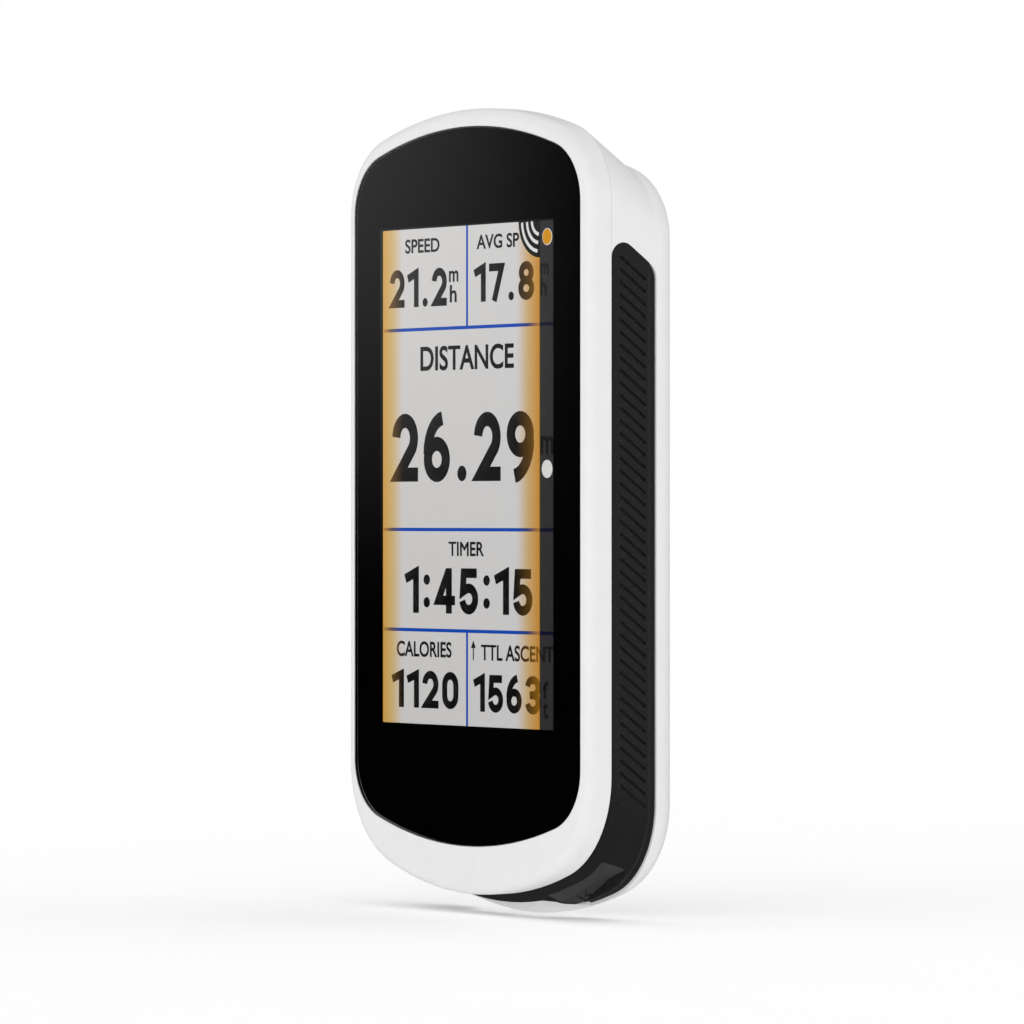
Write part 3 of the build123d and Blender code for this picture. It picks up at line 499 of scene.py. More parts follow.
def apply_modifier(piece, kind, **settings):
    """Add a modifier to a piece and apply it."""
    activate(piece)
    modifier = piece.modifiers.new(kind.lower(), kind)
    for name, value in settings.items():
        setattr(modifier, name, value)
    bpy.ops.object.modifier_apply(modifier=modifier.name)


def settle(piece, name, material, body=CASE):
    """Bring a finished piece to the origin, name it, give it its finish and its body."""
    activate(piece)
    bpy.ops.object.transform_apply(location=True, rotation=True, scale=True)
    piece.name = name
    piece.data.name = name
    piece.data.materials.clear()
    piece.data.materials.append(material)
    if body:
        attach(piece, body)
    return piece


def thicken(piece, thickness):
    """Give a flat piece a thickness, half on each side of its plane."""
    apply_modifier(piece, "SOLIDIFY", thickness=thickness, offset=0.0, use_even_offset=False)


def join(pieces):
    """Join pieces into the first."""
    activate(pieces[0])
    for piece in pieces[1:]:
        piece.select_set(True)
    bpy.ops.object.join()
    return pieces[0]


def flat_mesh(name, vertices, faces, edges=()):
    """Object from (x, z) points in the plane of the screen, facing the rider."""
    mesh = bpy.data.meshes.new(name)
    mesh.from_pydata([(x, 0.0, z) for x, z in vertices], edges, faces)
    piece = bpy.data.objects.new(name, mesh)
    bpy.context.scene.collection.objects.link(piece)
    return piece


def fit(piece, left, right, low, high):
    """Scale and move a flat piece so that it fills a rectangle, in millimetres, on the picture."""
    shift = bpy.context.scene.computer_sizes.screen_shift
    xs = [vertex.co.x for vertex in piece.data.vertices]
    zs = [vertex.co.z for vertex in piece.data.vertices]
    x0, z0 = min(xs), min(zs)
    wide, tall = (right - left) * MM / (max(xs) - x0), (high - low) * MM / (max(zs) - z0)
    for vertex in piece.data.vertices:
        x, z = left * MM + shift + (vertex.co.x - x0) * wide, low * MM + (vertex.co.z - z0) * tall
        vertex.co = (x, 0.0, z)


def lay(piece, height):
    """Move a flat piece out to a height over the display panel, towards the rider."""
    for vertex in piece.data.vertices:
        vertex.co.y = PANEL_LOW.y - height


# ------------------------------------------------------------------------------ the figures
# A figure is drawn with strokes in a cell one unit high. A stroke is a line of points, and a
# closed stroke ends where it starts.
PEN = 0.105              # half the width of a stroke
CELL = 0.67
LEFT, RIGHT, BASE, TOP = PEN, CELL - PEN, PEN, 1 - PEN
MIDDLE = CELL / 2
SPAN = MIDDLE - PEN
BETWEEN = 0.15           # gap between figures
DOT = 0.115


def bow(centre, radii, start, end, step=12):
    """Points along an ellipse, from one angle to another in degrees."""
    count = max(2, round(abs(end - start) / step))
    angles = [math.radians(start + (end - start) * index / count) for index in range(count + 1)]
    return [(centre[0] + radii[0] * math.cos(angle), centre[1] + radii[1] * math.sin(angle))
            for angle in angles]


def figures():
    """Width, strokes and dots of each figure."""
    upper, lower = (MIDDLE, TOP - 0.26), (MIDDLE, BASE + 0.26)
    oval = bow(upper, (SPAN, 0.26), 0, 180) + bow(lower, (SPAN, 0.26), 180, 360)
    bowl = bow((MIDDLE, 0.325), (SPAN, 0.23), 0, 348)
    sweep = bow((0.53, 0.40), (0.435, 0.535), 97, 180)
    turned = [[(CELL - x, 1 - z) for x, z in stroke] for stroke in (bowl, sweep)]
    return {
        "0": (CELL, [(oval, True)], []),
        "1": (0.48, [([(0.0, 0.755), (0.385, 0.90), (0.385, 0.0)], False)], []),
        "2": (CELL, [([(LEFT, 0.66)] + bow((MIDDLE, 0.645), (SPAN, 0.26), 175, -35)
                      + [(0.17, BASE), (CELL, BASE)], False)], []),
        "3": (CELL, [(bow((MIDDLE, 0.70), (SPAN, 0.205), 172, -90) + [(0.2, 0.495)], False),
                     ([(0.2, 0.495)] + bow((MIDDLE, 0.30), (SPAN, 0.205), 90, -172), False)], []),
        "4": (0.72, [([(0.475, 0.93), (0.12, 0.29), (0.72, 0.29)], False),
                     ([(0.5, 0.0), (0.5, 1.0)], False)], []),
        "5": (CELL, [([(0.62, TOP), (0.16, TOP), (0.125, 0.49)]
                      + bow((MIDDLE, 0.33), (SPAN, 0.235), 118, -170), False)], []),
        "6": (CELL, [(bowl, True), (sweep, False)], []),
        "7": (0.64, [([(0.0, TOP), (0.54, TOP), (0.22, 0.0)], False)], []),
        "8": (CELL, [(bow((MIDDLE, 0.71), (0.205, 0.195), 0, 348), True),
                     (bow((MIDDLE, 0.30), (SPAN, 0.205), 0, 348), True)], []),
        "9": (CELL, [(turned[0], True), (turned[1], False)], []),
        ".": (0.31, [], [(0.155, DOT)]),
        ":": (0.29, [], [(0.145, 0.24), (0.145, 0.74)]),
    }


def stroke_faces(points, closed, pen, vertices, faces):
    """Add a stroke's band of quads, mitred at its corners."""
    count = len(points)
    first = len(vertices)
    for index, (x, z) in enumerate(points):
        before = points[index - 1] if closed or index > 0 else None
        after = points[(index + 1) % count] if closed or index < count - 1 else None
        into = Vector((x - before[0], z - before[1])).normalized() if before else None
        out = Vector((after[0] - x, after[1] - z)).normalized() if after else None
        into, out = into or out, out or into
        mean = (into + out).normalized()
        reach = pen / max(STROKE_MITRE, mean.dot(out))
        side = Vector((-mean.y, mean.x)) * reach
        vertices.extend([(x + side.x, z + side.y), (x - side.x, z - side.y)])
    for index in range(count if closed else count - 1):
        a, b = first + 2 * index, first + 2 * ((index + 1) % count)
        faces.append((a, b, b + 1, a + 1))


def disc_face(centre, radius, vertices, faces, sides=24):
    """Add a round face."""
    first = len(vertices)
    vertices.extend(bow(centre, (radius, radius), 0, 360 - 360 / sides, 360 / sides))
    faces.append(tuple(range(first, first + sides)))


STROKE_MITRE = 0.35      # a stroke's corner reaches out no more than 1 / STROKE_MITRE times the pen
MITRE = 0.4              # a letter's corner moves out no more than 1 / MITRE times as far as its sides


def draw_reading(name, text):
    """Flat mesh of a line of figures, one unit high."""
    shapes = figures()
    vertices, faces = [], []
    x = 0.0
    for sign in text:
        width, strokes, dots = shapes[sign]
        for points, closed in strokes:
            stroke_faces([(x + px, pz) for px, pz in points], closed, PEN, vertices, faces)
        for dot_x, dot_z in dots:
            disc_face((x + dot_x, dot_z), DOT, vertices, faces)
        x += width + BETWEEN
    return flat_mesh(name, vertices, faces)


def embolden(piece, weight):
    """Push the outline of a flat piece outwards."""
    work = bmesh.new()
    work.from_mesh(piece.data)
    work.normal_update()
    outward = {}
    for edge in work.edges:
        if edge.is_boundary:
            loop = edge.link_loops[0]
            along = (loop.link_loop_next.vert.co - loop.vert.co).normalized()
            for vertex in edge.verts:
                outward.setdefault(vertex, []).append(along.cross(loop.face.normal))
    for vertex, sides in outward.items():
        total = sum(sides, Vector())
        corner = max(MITRE, 1 + sides[0].dot(sides[-1]))
        vertex.co += total * (weight / corner if len(sides) > 1 else weight)
    work.to_mesh(piece.data)
    work.free()


def draw_label(name, text, weight):
    """Flat mesh of a line of plain lettering."""
    deselect()
    bpy.ops.object.text_add(rotation=(math.pi / 2, 0, 0))
    piece = bpy.context.object
    piece.data.body = text
    bpy.ops.object.convert(target="MESH")
    bpy.ops.object.transform_apply(location=True, rotation=True, scale=True)
    embolden(piece, weight)
    piece.name = name
    return piece


# The fields of the picture, in millimetres: text, left, right, foot and head.
READINGS = {
    "speed": ("21.2", -18.5, -4.7, 27.9, 33.2),
    "average": ("17.8", 1.5, 15.3, 28.0, 33.4),
    "distance": ("26.29", -18.2, 15.3, 4.3, 13.9),
    "timer": ("1:45:15", -14.7, 14.9, -13.0, -6.6),
    "calories": ("1120", -17.8, -2.0, -25.6, -20.4),
    "ascent": ("1563", 1.4, 16.7, -25.8, -20.6),
}
LABELS = {
    "speed": ("SPEED", -14.5, -6.4, 35.1, 37.0),
    "average": ("AVG SP", 2.2, 11.9, 35.1, 37.0),
    "distance": ("DISTANCE", -10.9, 10.7, 19.3, 22.6),
    "timer": ("TIMER", -4.3, 3.9, -5.3, -3.4),
    "calories": ("CALORIES", -16.5, -3.6, -18.8, -16.7),
    "ascent": ("TTL ASCENT", 3.2, 19.6, -19.0, -16.9),
}
UNITS = {
    "speed_top": ("m", -4.2, -2.0, 31.0, 32.5),
    "speed_foot": ("h", -4.0, -2.4, 28.3, 30.6),
    "average_top": ("m", 16.7, 18.5, 31.3, 32.8),
    "average_foot": ("h", 16.7, 18.1, 28.6, 30.9),
    "distance": ("m", 16.7, 19.6, 8.0, 10.4),
    "ascent_top": ("f", 17.2, 18.4, -23.7, -21.5),
    "ascent_foot": ("t", 17.2, 18.4, -26.3, -24.1),
}
RULES = (24.9, -1.8, -15.2)          # heights of the level lines
SIGNAL = dict(centre=(16.6, 38.36), disc=4.8, arcs=(1.8, 2.9, 4.0), pen=0.23)
MARK_X = 18.2                        # middle of the dark bar
STATUS = dict(height=36.2, radius=1.0, ring=1.1)
PAGE = dict(height=6.1, radius=1.18)
ARROW = dict(x=1.45, foot=-19.0, head=-16.4, pen=0.12, wing=0.55, barb=1.0)

# Heights over the display panel, towards the rider.
PICTURE_LIFT = 0.02 * MM
DRAWING_LIFT = 0.035 * MM
SIGN_LIFT = 0.06 * MM
INK_INSET = 0.06 * MM                # the ink stops short of the glass's edge
PICTURE_GAIN = 1.19                  # makes up for what the glass takes from the light
LABEL_WEIGHT = 0.022                 # how far the lettering is thickened
UNIT_WEIGHT = 0.022
NECK = dict(width=4.0 * MM, thick=0.3 * MM, reach=0.68 * MM, proud=0.12 * MM, above=1.6 * MM,
            below=2.0 * MM, round=0.08 * MM)
GLASS_IOR = 1.5
FILM_IOR = 1.12                      # the film is bonded to the glass, so it mirrors little
DOME_BASE = 0.9                      # the dome's even share
DOME_TILT = (0.17, -0.24, -0.48)     # the dome is brighter to the right, in front and low down
BOXES = dict(left=0.5, overhead=0.8, front=0.5, side=0.15)

# Colours across the picture from left to right: glow, field, glow and dark bar.
GLOW_IN, GLOW_OUT, BAR = 0.119, 0.783, 0.9155
AFTER_BAR = BAR + 0.001


def picture_stops():
    return [(0.0, colour(206, 157, 70)), (0.06, colour(205, 176, 122)), (GLOW_IN, colour(205, 203, 201)),
            (GLOW_OUT, colour(204, 203, 202)), (0.85, colour(199, 165, 113)), (BAR, colour(192, 133, 44)),
            (AFTER_BAR, colour(47, 46, 48))]


def figure_stops():
    return [(0.0, colour(128, 92, 36)), (0.04, colour(100, 74, 34)), (GLOW_IN, colour(14, 14, 14)),
            (GLOW_OUT, colour(12, 12, 12)), (0.86, colour(84, 58, 18)), (BAR, colour(140, 94, 20)),
            (AFTER_BAR, colour(16, 16, 16))]


def rule_stops(blue):
    return [(0.0, colour(196, 142, 60)), (0.05, colour(92, 78, 80)), (GLOW_IN, blue),
            (GLOW_OUT, blue), (0.85, colour(50, 62, 110)), (BAR, colour(170, 116, 40)),
            (AFTER_BAR, colour(10, 14, 40))]


# -------------------------------------------------------------------------------- operators
class FinishOperator:
    """Shared parts of the finishing operators"""
    bl_options = {"REGISTER", "UNDO"}


class COMPUTER_OT_shared_effects(FinishOperator, bpy.types.Operator):
    """Build the shader groups that several finishes share"""
    bl_idname = "computer.shared_effects"
    bl_label = "Shared Effects"

    def execute(self, context):
        build_grain_group()
        build_wear_group()
        build_dust_group()
        build_brushed_group()
        return {"FINISHED"}


class COMPUTER_OT_case(FinishOperator, bpy.types.Operator):
    """Finish the white shells and the black ribbed band"""
    bl_idname = "computer.case"
    bl_label = "Shells and Grip Band"

    def execute(self, context):
        colours = context.scene.computer_colours
        shell = moulded("shell_white_satin", colours.shell, 0.38, grain=14000.0, depth=1.2e-6,
                        wear=0.15, dust=0.05, radius=0.18 * MM)
        grip = moulded("grip_rubber_matt", colours.grip, 0.56, grain=9000.0, depth=8e-6,
                       wear=0.6, wear_tint=0.12, dust=0.10, radius=0.1 * MM, spread=0.12,
                       specular=0.3)
        dress(shell, *nodes_of("shell_white"))
        dress(grip, *nodes_of("grip_rubber"))
        return {"FINISHED"}


class COMPUTER_OT_controls(FinishOperator, bpy.types.Operator):
    """Finish the buttons, their seals and the switches behind them"""
    bl_idname = "computer.controls"
    bl_label = "Buttons, Seals and Switches"

    def execute(self, context):
        colours = context.scene.computer_colours
        button = moulded("button_black_satin", colours.button, 0.44, grain=12000.0, depth=3e-6,
                         wear=0.5, wear_tint=0.10, dust=0.06, radius=0.12 * MM)
        silicone = moulded("silicone_grey_soft", (0.06, 0.06, 0.065), 0.5, grain=7000.0, depth=3e-6,
                           wear=0.2, dust=0.2)
        dress(button, *nodes_of("button_black"))
        dress(silicone, *nodes_of("silicone_grey"))
        dress(metal("switch_metal_stamped", (0.62, 0.62, 0.60), 0.32), *nodes_of("switch_metal"))
        return {"FINISHED"}


class COMPUTER_OT_glass(FinishOperator, bpy.types.Operator):
    """Finish the cover glass and the optical layers under it"""
    bl_idname = "computer.glass"
    bl_label = "Glass and Display Stack"

    def execute(self, context):
        dress(clear("lens_glass_polished", (1.0, 1.0, 1.0), 0.0, GLASS_IOR, 0.012), *nodes_of("lens_glass"))
        dress(clear("touch_film_clear", (0.99, 0.99, 0.995), 0.0, FILM_IOR, 0.0), *nodes_of("touch_film"))
        dress(moulded("panel_glass_dark", (0.006, 0.006, 0.007), 0.5, grain=20000.0, depth=4e-7,
                      wear=0.1, specular=0.05), *nodes_of("panel_glass"))
        dress(moulded("adhesive_black", (0.02, 0.02, 0.02), 0.6, grain=9000.0, depth=4e-6, dust=0.1),
              *nodes_of("adhesive"))
        dress(moulded("light_guide_white", (0.82, 0.84, 0.86), 0.22, grain=16000.0, depth=1e-6),
              *nodes_of("light_guide"))
        dress(metal("tray_steel_stamped", (0.6, 0.6, 0.6), 0.34, turn=(0.0, math.pi / 2, 0.0)),
              *nodes_of("tray_steel"))
        return {"FINISHED"}


class COMPUTER_OT_electronics(FinishOperator, bpy.types.Operator):
    """Finish the board, shields, antennas, battery and flexes"""
    bl_idname = "computer.electronics"
    bl_label = "Electronics and Battery"

    def execute(self, context):
        dress(board_finish("board_green_mask"), *nodes_of("board_green"))
        dress(metal("shield_tin_plate", (0.66, 0.66, 0.64), 0.36), *nodes_of("shield_tin"))
        dress(moulded("antenna_ceramic_dull", (0.70, 0.64, 0.55), 0.55, grain=10000.0, depth=3e-6),
              *nodes_of("antenna_ceramic"))
        dress(foil_finish("battery_foil_pouch"), *nodes_of("battery_foil"))
        dress(moulded("foam_black_cells", (0.022, 0.022, 0.022), 0.85, grain=3000.0, depth=6e-5,
                      dust=0.1), *nodes_of("foam_black"))
        dress(flex_finish("flex_film_amber"), *nodes_of("flex_film"))
        return {"FINISHED"}


class COMPUTER_OT_back(FinishOperator, bpy.types.Operator):
    """Finish the mount, its screws and contacts, the port and the vent"""
    bl_idname = "computer.back"
    bl_label = "Mount, Port and Vent"

    def execute(self, context):
        colours = context.scene.computer_colours
        dress(moulded("mount_black_nylon", colours.mount, 0.48, grain=6000.0, depth=7e-6, wear=0.7,
                      wear_tint=0.16, dust=0.08, radius=0.15 * MM, spread=0.16), *nodes_of("mount_black"))
        dress(metal("screw_steel_black", (0.32, 0.32, 0.33), 0.34), *nodes_of("screw_steel"))
        dress(metal("contact_gold_plate", (0.86, 0.60, 0.22), 0.24), *nodes_of("contact_gold"))
        dress(metal("port_steel_drawn", (0.56, 0.56, 0.56), 0.28), *nodes_of("port_steel"))
        dress(membrane_finish("vent_white_membrane"), *nodes_of("vent_white"))
        return {"FINISHED"}


class COMPUTER_OT_border_ink(FinishOperator, bpy.types.Operator):
    """Print the black border on the inner face of the cover glass"""
    bl_idname = "computer.border_ink"
    bl_label = "Border Ink"

    def execute(self, context):
        sizes = context.scene.computer_sizes
        middle = (LENS_LOW + LENS_HIGH) / 2
        # the glass is convex, so the corners of its inner face go round in order of their angle
        glass = frame["nodes"]["cover_lens"].data.vertices
        rim = {(round(v.co.x, 7), round(v.co.z, 7)) for v in glass if abs(v.co.y - LENS_HIGH.y) < 1e-6}
        outline = sorted(rim, key=lambda point: math.atan2(point[1] - middle.z, point[0]))
        inset = 1 - INK_INSET / LENS_HIGH.x
        outline = [(x * inset, middle.z + (z - middle.z) * inset) for x, z in outline]
        half = sizes.screen_width / 2 + sizes.window_margin
        tall = sizes.screen_height / 2 + sizes.window_margin
        window = [(sizes.screen_shift + x * half, sizes.screen_centre + z * tall)
                  for x, z in ((-1, -1), (1, -1), (1, 1), (-1, 1))]
        loops, edges = outline + window, []
        for first, count in ((0, len(outline)), (len(outline), 4)):
            edges.extend((first + index, first + (index + 1) % count) for index in range(count))
        piece = flat_mesh("border_ink", loops, [], edges)
        activate(piece)
        bpy.ops.object.mode_set(mode="EDIT")
        bpy.ops.mesh.select_all(action="SELECT")
        bpy.ops.mesh.fill(use_beauty=False)
        bpy.ops.object.mode_set(mode="OBJECT")
        for vertex in piece.data.vertices:
            vertex.co.y = LENS_HIGH.y + sizes.ink_thickness / 4
        thicken(piece, sizes.ink_thickness)
        ink = moulded("border_ink_black", (0.0015, 0.0015, 0.0016), 0.5, grain=20000.0, depth=5e-7,
                      radius=0.02 * MM, specular=0.05)
        settle(piece, "border_ink", ink)
        return {"FINISHED"}


class COMPUTER_OT_picture(FinishOperator, bpy.types.Operator):
    """Lay the lit picture on the display panel"""
    bl_idname = "computer.picture"
    bl_label = "Lit Picture"

    def execute(self, context):
        sizes = context.scene.computer_sizes
        deselect()
        bpy.ops.mesh.primitive_plane_add(size=1.0, rotation=(math.pi / 2, 0, 0), location=(
            sizes.screen_shift, PANEL_LOW.y - PICTURE_LIFT, sizes.screen_centre))
        piece = context.object
        piece.scale = (sizes.screen_width, sizes.screen_height, 1.0)
        bpy.ops.object.transform_apply(location=True, rotation=True, scale=True)
        bpy.ops.object.mode_set(mode="EDIT")
        bpy.ops.mesh.select_all(action="SELECT")
        bpy.ops.mesh.bevel(offset=0.15 * MM, segments=3, affect="VERTICES")
        bpy.ops.mesh.select_all(action="SELECT")
        bpy.ops.mesh.inset(thickness=0.05 * MM)
        bpy.ops.object.mode_set(mode="OBJECT")
        thicken(piece, sizes.layer)
        settle(piece, "screen_picture", lit("screen_picture_lit", picture_stops(), PICTURE_GAIN))
        return {"FINISHED"}


class COMPUTER_OT_rules(FinishOperator, bpy.types.Operator):
    """Draw the blue lines between the data fields"""
    bl_idname = "computer.rules"
    bl_label = "Field Lines"

    def execute(self, context):
        sizes = context.scene.computer_sizes
        blue = (*context.scene.computer_colours.rule, 1.0)
        pen = sizes.rule_width / MM / 2
        half = sizes.screen_width / MM / 2
        head = (sizes.screen_centre + sizes.screen_height / 2) / MM
        foot = (sizes.screen_centre - sizes.screen_height / 2) / MM
        spans = [(-half, half, height - pen, height + pen) for height in RULES]
        spans += [(-pen, pen, RULES[0] + pen, head), (-pen, pen, foot, RULES[-1] - pen)]
        pieces = []
        for span in spans:
            deselect()
            bpy.ops.mesh.primitive_grid_add(x_subdivisions=4, y_subdivisions=4, size=1.0,
                                            rotation=(math.pi / 2, 0, 0))
            bpy.ops.object.transform_apply(location=True, rotation=True, scale=True)
            pieces.append(context.object)
            fit(context.object, *span)
        piece = join(pieces)
        lay(piece, DRAWING_LIFT)
        thicken(piece, sizes.layer)
        settle(piece, "screen_rules", lit("screen_rules_lit", rule_stops(blue), PICTURE_GAIN))
        return {"FINISHED"}


class COMPUTER_OT_readings(FinishOperator, bpy.types.Operator):
    """Write the readings, field names and units"""
    bl_idname = "computer.readings"
    bl_label = "Readings and Field Names"

    def execute(self, context):
        layer = context.scene.computer_sizes.layer
        black = lit("screen_figures_lit", figure_stops(), PICTURE_GAIN)
        drawn = [("reading_" + name, draw_reading(name, row[0]), row) for name, row in READINGS.items()]
        drawn += [("label_" + name, draw_label(name, row[0], LABEL_WEIGHT), row)
                  for name, row in LABELS.items()]
        drawn += [("unit_" + name, draw_label(name, row[0], UNIT_WEIGHT), row)
                  for name, row in UNITS.items()]
        for name, piece, row in drawn:
            fit(piece, *row[1:])
            lay(piece, DRAWING_LIFT)
            thicken(piece, layer)
            settle(piece, name, black)
        return {"FINISHED"}


class COMPUTER_OT_signs(FinishOperator, bpy.types.Operator):
    """Draw the signal sign, the status and page dots and the ascent arrow"""
    bl_idname = "computer.signs"
    bl_label = "Signs"

    def make(self, name, vertices, faces, material, lift):
        """Turn flat faces, in millimetres, into a thin piece of the picture."""
        sizes = bpy.context.scene.computer_sizes
        shifted = [(x * MM + sizes.screen_shift, z * MM) for x, z in vertices]
        piece = flat_mesh(name, shifted, faces)
        lay(piece, lift)
        thicken(piece, sizes.layer)
        return settle(piece, name, material)

    def execute(self, context):
        sizes = context.scene.computer_sizes
        # each sign is painted a little darker from left to right: painted shade
        black = lit("screen_sign_black", [(0.0, colour(17, 17, 18)), (1.0, colour(15, 15, 16))],
                    PICTURE_GAIN)
        white = lit("screen_sign_white", [(0.0, colour(222, 222, 220)), (1.0, colour(214, 214, 212))],
                    PICTURE_GAIN)
        orange = lit("screen_sign_orange", [(0.0, colour(206, 145, 30)), (1.0, colour(203, 141, 24))],
                     PICTURE_GAIN)
        # a quarter of a disc with three arcs
        centre = SIGNAL["centre"]
        quarter = bow(centre, (SIGNAL["disc"],) * 2, 180, 270, 6) + [centre]
        self.make("signal_disc", quarter, [tuple(range(len(quarter)))], black, DRAWING_LIFT + sizes.layer)
        vertices, faces = [], []
        for radius in SIGNAL["arcs"]:
            stroke_faces(bow(centre, (radius, radius), 182, 262, 8), False, SIGNAL["pen"], vertices, faces)
        self.make("signal_arcs", vertices, faces, white, SIGN_LIFT)
        # dots on the dark bar
        for name, spot, radius, material, lift in (
                ("status_ring", STATUS["height"], STATUS["ring"], white, DRAWING_LIFT),
                ("status_dot", STATUS["height"], STATUS["radius"], orange, SIGN_LIFT),
                ("page_dot", PAGE["height"], PAGE["radius"], white, SIGN_LIFT)):
            vertices, faces = [], []
            disc_face((MARK_X, spot), radius, vertices, faces, sides=40)
            self.make(name, vertices, faces, material, lift)
        # an arrow that points up
        x, foot, head, pen = ARROW["x"], ARROW["foot"], ARROW["head"], ARROW["pen"]
        neck, wing = head - ARROW["barb"], ARROW["wing"]
        outline = [(x - pen, foot), (x + pen, foot), (x + pen, neck), (x + wing, neck), (x, head),
                   (x - wing, neck), (x - pen, neck)]
        self.make("ascent_arrow", outline, [tuple(range(len(outline)))], black, DRAWING_LIFT)
        return {"FINISHED"}


class COMPUTER_OT_cap_neck(FinishOperator, bpy.types.Operator):
    """Make the rubber neck that joins the weather cap to its anchor"""
    bl_idname = "computer.cap_neck"
    bl_label = "Weather Cap Neck"

    def execute(self, context):
        axis = Vector(HINGE["pos_m"])
        reach = NECK["reach"]
        # a strap that runs straight off the anchor, over the hinge bead and on to the cap
        level = axis.y + NECK["proud"]
        over = bow((axis.y, axis.z), (reach, reach), 72, -72)
        path = [(level, axis.z + NECK["above"]), (level, axis.z + reach * 1.3)] + over
        path += [(level, axis.z - reach * 1.3), (level, axis.z - NECK["below"])]
        deselect()
        bpy.ops.mesh.primitive_plane_add(size=1.0, rotation=(math.pi / 2, 0, 0), location=(
            0.0, path[0][0], path[0][1]))
        piece = context.object
        piece.scale = (NECK["width"], 1.0, 1.0)
        bpy.ops.object.transform_apply(location=False, rotation=True, scale=True)
        bpy.ops.object.transform_apply(location=True)
        # keep only the plane's upper edge, then extrude it along the path
        bpy.ops.object.mode_set(mode="EDIT")
        mesh = bmesh.from_edit_mesh(piece.data)
        low = [vertex for vertex in mesh.verts if vertex.co.z < path[0][1]]
        bmesh.ops.delete(mesh, geom=low, context="VERTS")
        for vertex in mesh.verts:
            vertex.co.y, vertex.co.z = path[0]
        bmesh.update_edit_mesh(piece.data)
        bpy.ops.mesh.select_all(action="SELECT")
        for before, after in zip(path, path[1:]):
            move = (0.0, after[0] - before[0], after[1] - before[1])
            bpy.ops.mesh.extrude_region_move(TRANSFORM_OT_translate={"value": move})
        bpy.ops.object.mode_set(mode="OBJECT")
        thicken(piece, NECK["thick"])
        apply_modifier(piece, "BEVEL", width=NECK["round"], segments=3, limit_method="ANGLE",
                       angle_limit=math.radians(50))
        activate(piece)
        bpy.ops.object.mode_set(mode="EDIT")
        bpy.ops.mesh.select_all(action="SELECT")
        bpy.ops.mesh.normals_make_consistent(inside=False)
        bpy.ops.object.mode_set(mode="OBJECT")
        bpy.ops.object.shade_smooth_by_angle(angle=math.radians(40))
        settle(piece, "cap_neck", bpy.data.materials["grip_rubber_matt"], body=None)
        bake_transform(piece)
        return {"FINISHED"}


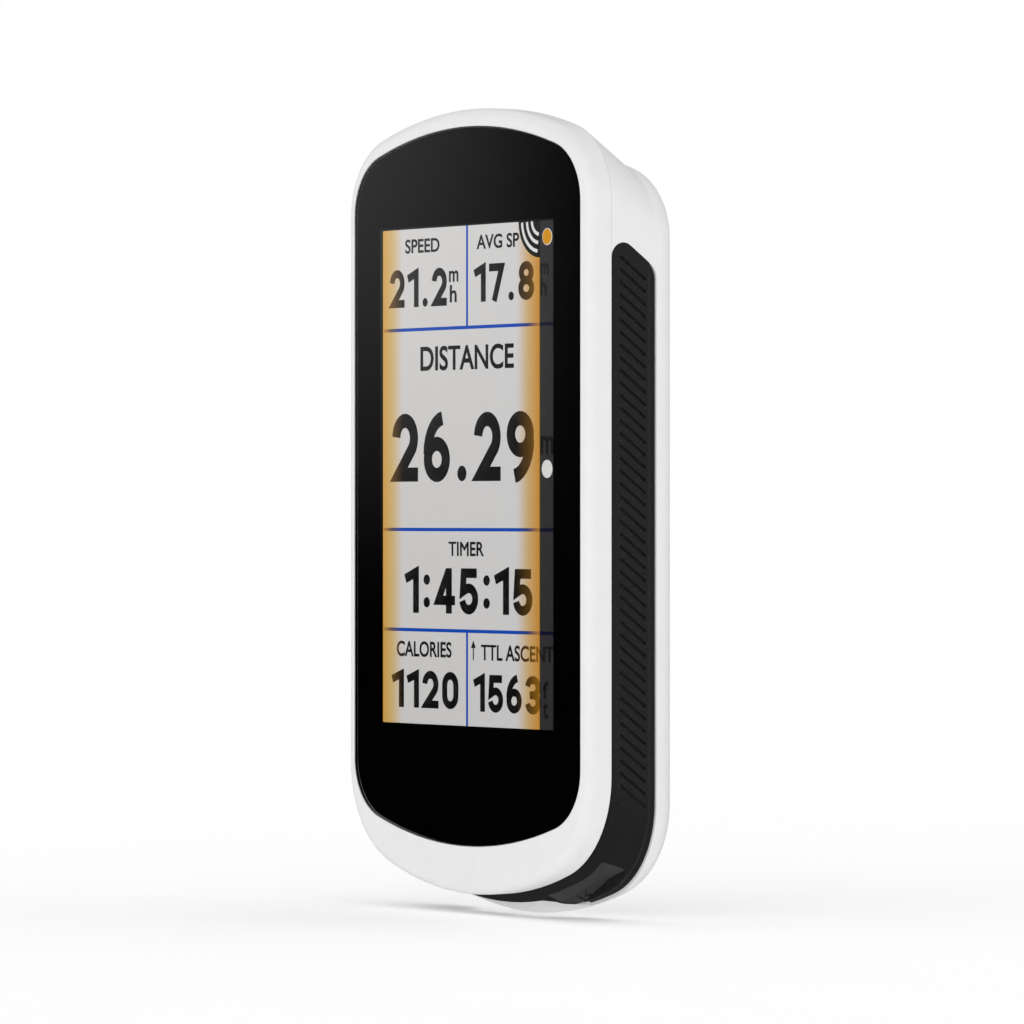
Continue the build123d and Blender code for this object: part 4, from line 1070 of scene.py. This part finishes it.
class COMPUTER_OT_stage(FinishOperator, bpy.types.Operator):
    """Set up the pale floor, the white dome of light and the camera"""
    bl_idname = "computer.stage"
    bl_label = "Floor, Light and Camera"

    def floor(self, stage):
        """Plain pale floor just under the case."""
        deselect()
        level = SHELL_LOW.z - stage.floor_gap
        bpy.ops.mesh.primitive_grid_add(x_subdivisions=8, y_subdivisions=8, size=stage.floor_size,
                                        location=(0.0, 0.0, level))
        floor = bpy.context.object
        bpy.ops.object.transform_apply(location=True, rotation=True, scale=True)
        floor.name = "floor"
        material, tree, shader = start_material("floor_pale")
        paper = node(tree, "TexNoise", {"Vector": object_place(tree), "Scale": 40.0, "Detail": 4.0})
        tree.links.new(mix_colours(tree, paper.outputs[0], (0.955, 0.955, 0.955, 1.0),
                                   (0.975, 0.975, 0.975, 1.0)), shader.inputs["Base Color"])
        shader.inputs["Roughness"].default_value = 0.9
        shader.inputs["Specular IOR Level"].default_value = 0.0
        shader.inputs["Emission Color"].default_value = (1.0, 1.0, 1.0, 1.0)
        shader.inputs["Emission Strength"].default_value = stage.floor_glow
        floor.data.materials.append(material)
        floor.visible_glossy = False
        floor.visible_transmission = False
        floor.visible_shadow = False

    def under_light(self, stage):
        """Wide soft light under the floor, which lets it through, for the underside."""
        deselect()
        bpy.ops.object.light_add(type="AREA", location=(0.0, 0.0, SHELL_LOW.z - stage.under_depth),
                                 rotation=(math.pi, 0.0, 0.0))
        light = bpy.context.object
        light.name = "under_light"
        light.data.shape = "DISK"
        light.data.size = stage.under_size
        light.data.energy = stage.under_power
        light.visible_camera = False
        light.visible_glossy = False
        light.visible_transmission = False

    def dome(self, stage):
        """White dome: bright all round for soft light, with separate soft boxes in reflections."""
        world = bpy.data.worlds.new("studio_dome")
        bpy.context.scene.world = world
        world.use_nodes = True
        tree = world.node_tree
        background = tree.nodes["Background"]
        direction = node(tree, "TexCoord").outputs["Generated"]
        across = node(tree, "SeparateXYZ", {0: direction})
        up = across.outputs["Z"]

        def towards(x, y, z):
            return node(tree, "VectorMath", {0: direction, 1: (x, y, z)},
                        operation="DOT_PRODUCT").outputs["Value"]

        def rising(value, low, high, strength):
            made = node(tree, "MapRange", {"Value": value, "From Min": low, "From Max": high,
                                           "To Min": 0.0, "To Max": strength},
                        interpolation_type="SMOOTHSTEP")
            return made.outputs["Result"]

        soft = maths(tree, "ADD", maths(tree, "MULTIPLY", towards(*DOME_TILT), stage.dome),
                     stage.dome * DOME_BASE)
        # what glossy surfaces mirror: a high left box with a soft edge, an overhead box and a front strip
        left = maths(tree, "MULTIPLY", rising(up, -0.02, 0.075, BOXES["left"]),
                     rising(towards(0.576, -0.817, 0.0), 0.022, -0.034, 1.0))
        overhead = rising(up, 0.25, 0.95, BOXES["overhead"])
        front = rising(towards(0.62, -0.76, 0.2), 0.80, 0.98, BOXES["front"])
        side = rising(towards(0.95, 0.2, 0.2), 0.55, 0.98, BOXES["side"])
        boxes = maths(tree, "ADD", maths(tree, "ADD", left, overhead), maths(tree, "ADD", front, side))
        path = node(tree, "LightPath")
        seen = maths(tree, "MAXIMUM", path.outputs["Is Glossy Ray"], path.outputs["Is Transmission Ray"])
        lighting = node(tree, "Mix", {"Factor": seen, "A": soft, "B": boxes}, data_type="FLOAT")
        final = node(tree, "Mix", {"Factor": path.outputs["Is Camera Ray"], "A": lighting.outputs[0],
                                   "B": 1.0}, data_type="FLOAT")
        tree.links.new(final.outputs[0], background.inputs["Strength"])
        background.inputs["Color"].default_value = (1.0, 1.0, 1.0, 1.0)

    def camera(self, stage):
        """Camera at the height of the case's middle, in front and to the right."""
        deselect()
        place = (stage.distance * math.sin(stage.turn), -stage.distance * math.cos(stage.turn), 0.0)
        bpy.ops.object.camera_add(location=place, rotation=(math.pi / 2, 0.0, stage.swing))
        camera = bpy.context.object
        camera.name = "camera"
        camera.data.lens = stage.lens
        camera.data.sensor_width = 36.0
        camera.data.shift_y = stage.rise
        camera.data.clip_start = 0.01
        camera.data.clip_end = 50.0
        camera.data.dof.use_dof = False
        bpy.context.scene.camera = camera

    def execute(self, context):
        stage = context.scene.computer_stage
        self.floor(stage)
        self.under_light(stage)
        self.dome(stage)
        self.camera(stage)
        context.scene.view_settings.view_transform = "Standard"
        return {"FINISHED"}


class VIEW3D_PT_computer(bpy.types.Panel):
    """Sidebar panel that shows the size, colour and stage settings and the finishing steps"""
    bl_label = "Cycling Computer"
    bl_idname = "VIEW3D_PT_computer"
    bl_space_type = "VIEW_3D"
    bl_region_type = "UI"
    bl_category = "Cycling Computer"

    def draw(self, context):
        layout = self.layout
        for title, group in (("Sizes", context.scene.computer_sizes),
                             ("Colours", context.scene.computer_colours),
                             ("Stage", context.scene.computer_stage)):
            box = layout.box()
            box.label(text=title)
            for name in group.__annotations__:
                box.prop(group, name)
        for step in STEPS:
            layout.operator(step.bl_idname)


STEPS = (COMPUTER_OT_shared_effects, COMPUTER_OT_case, COMPUTER_OT_controls, COMPUTER_OT_glass,
         COMPUTER_OT_electronics, COMPUTER_OT_back, COMPUTER_OT_border_ink, COMPUTER_OT_picture,
         COMPUTER_OT_rules, COMPUTER_OT_readings, COMPUTER_OT_signs, COMPUTER_OT_cap_neck,
         COMPUTER_OT_stage)
GROUPS = (("computer_sizes", ComputerSizes), ("computer_colours", ComputerColours),
          ("computer_stage", ComputerStage))


def register():
    for name, group in GROUPS:
        bpy.utils.register_class(group)
        setattr(bpy.types.Scene, name, PointerProperty(type=group))
    for step in STEPS:
        bpy.utils.register_class(step)
    bpy.utils.register_class(VIEW3D_PT_computer)


def unregister():
    bpy.utils.unregister_class(VIEW3D_PT_computer)
    for step in reversed(STEPS):
        bpy.utils.unregister_class(step)
    for name, group in reversed(GROUPS):
        delattr(bpy.types.Scene, name)
        bpy.utils.unregister_class(group)


def main():
    register()
    for step in STEPS:
        family, name = step.bl_idname.split(".")
        getattr(getattr(bpy.ops, family), name)()


if __name__ == "__main__":
    main()
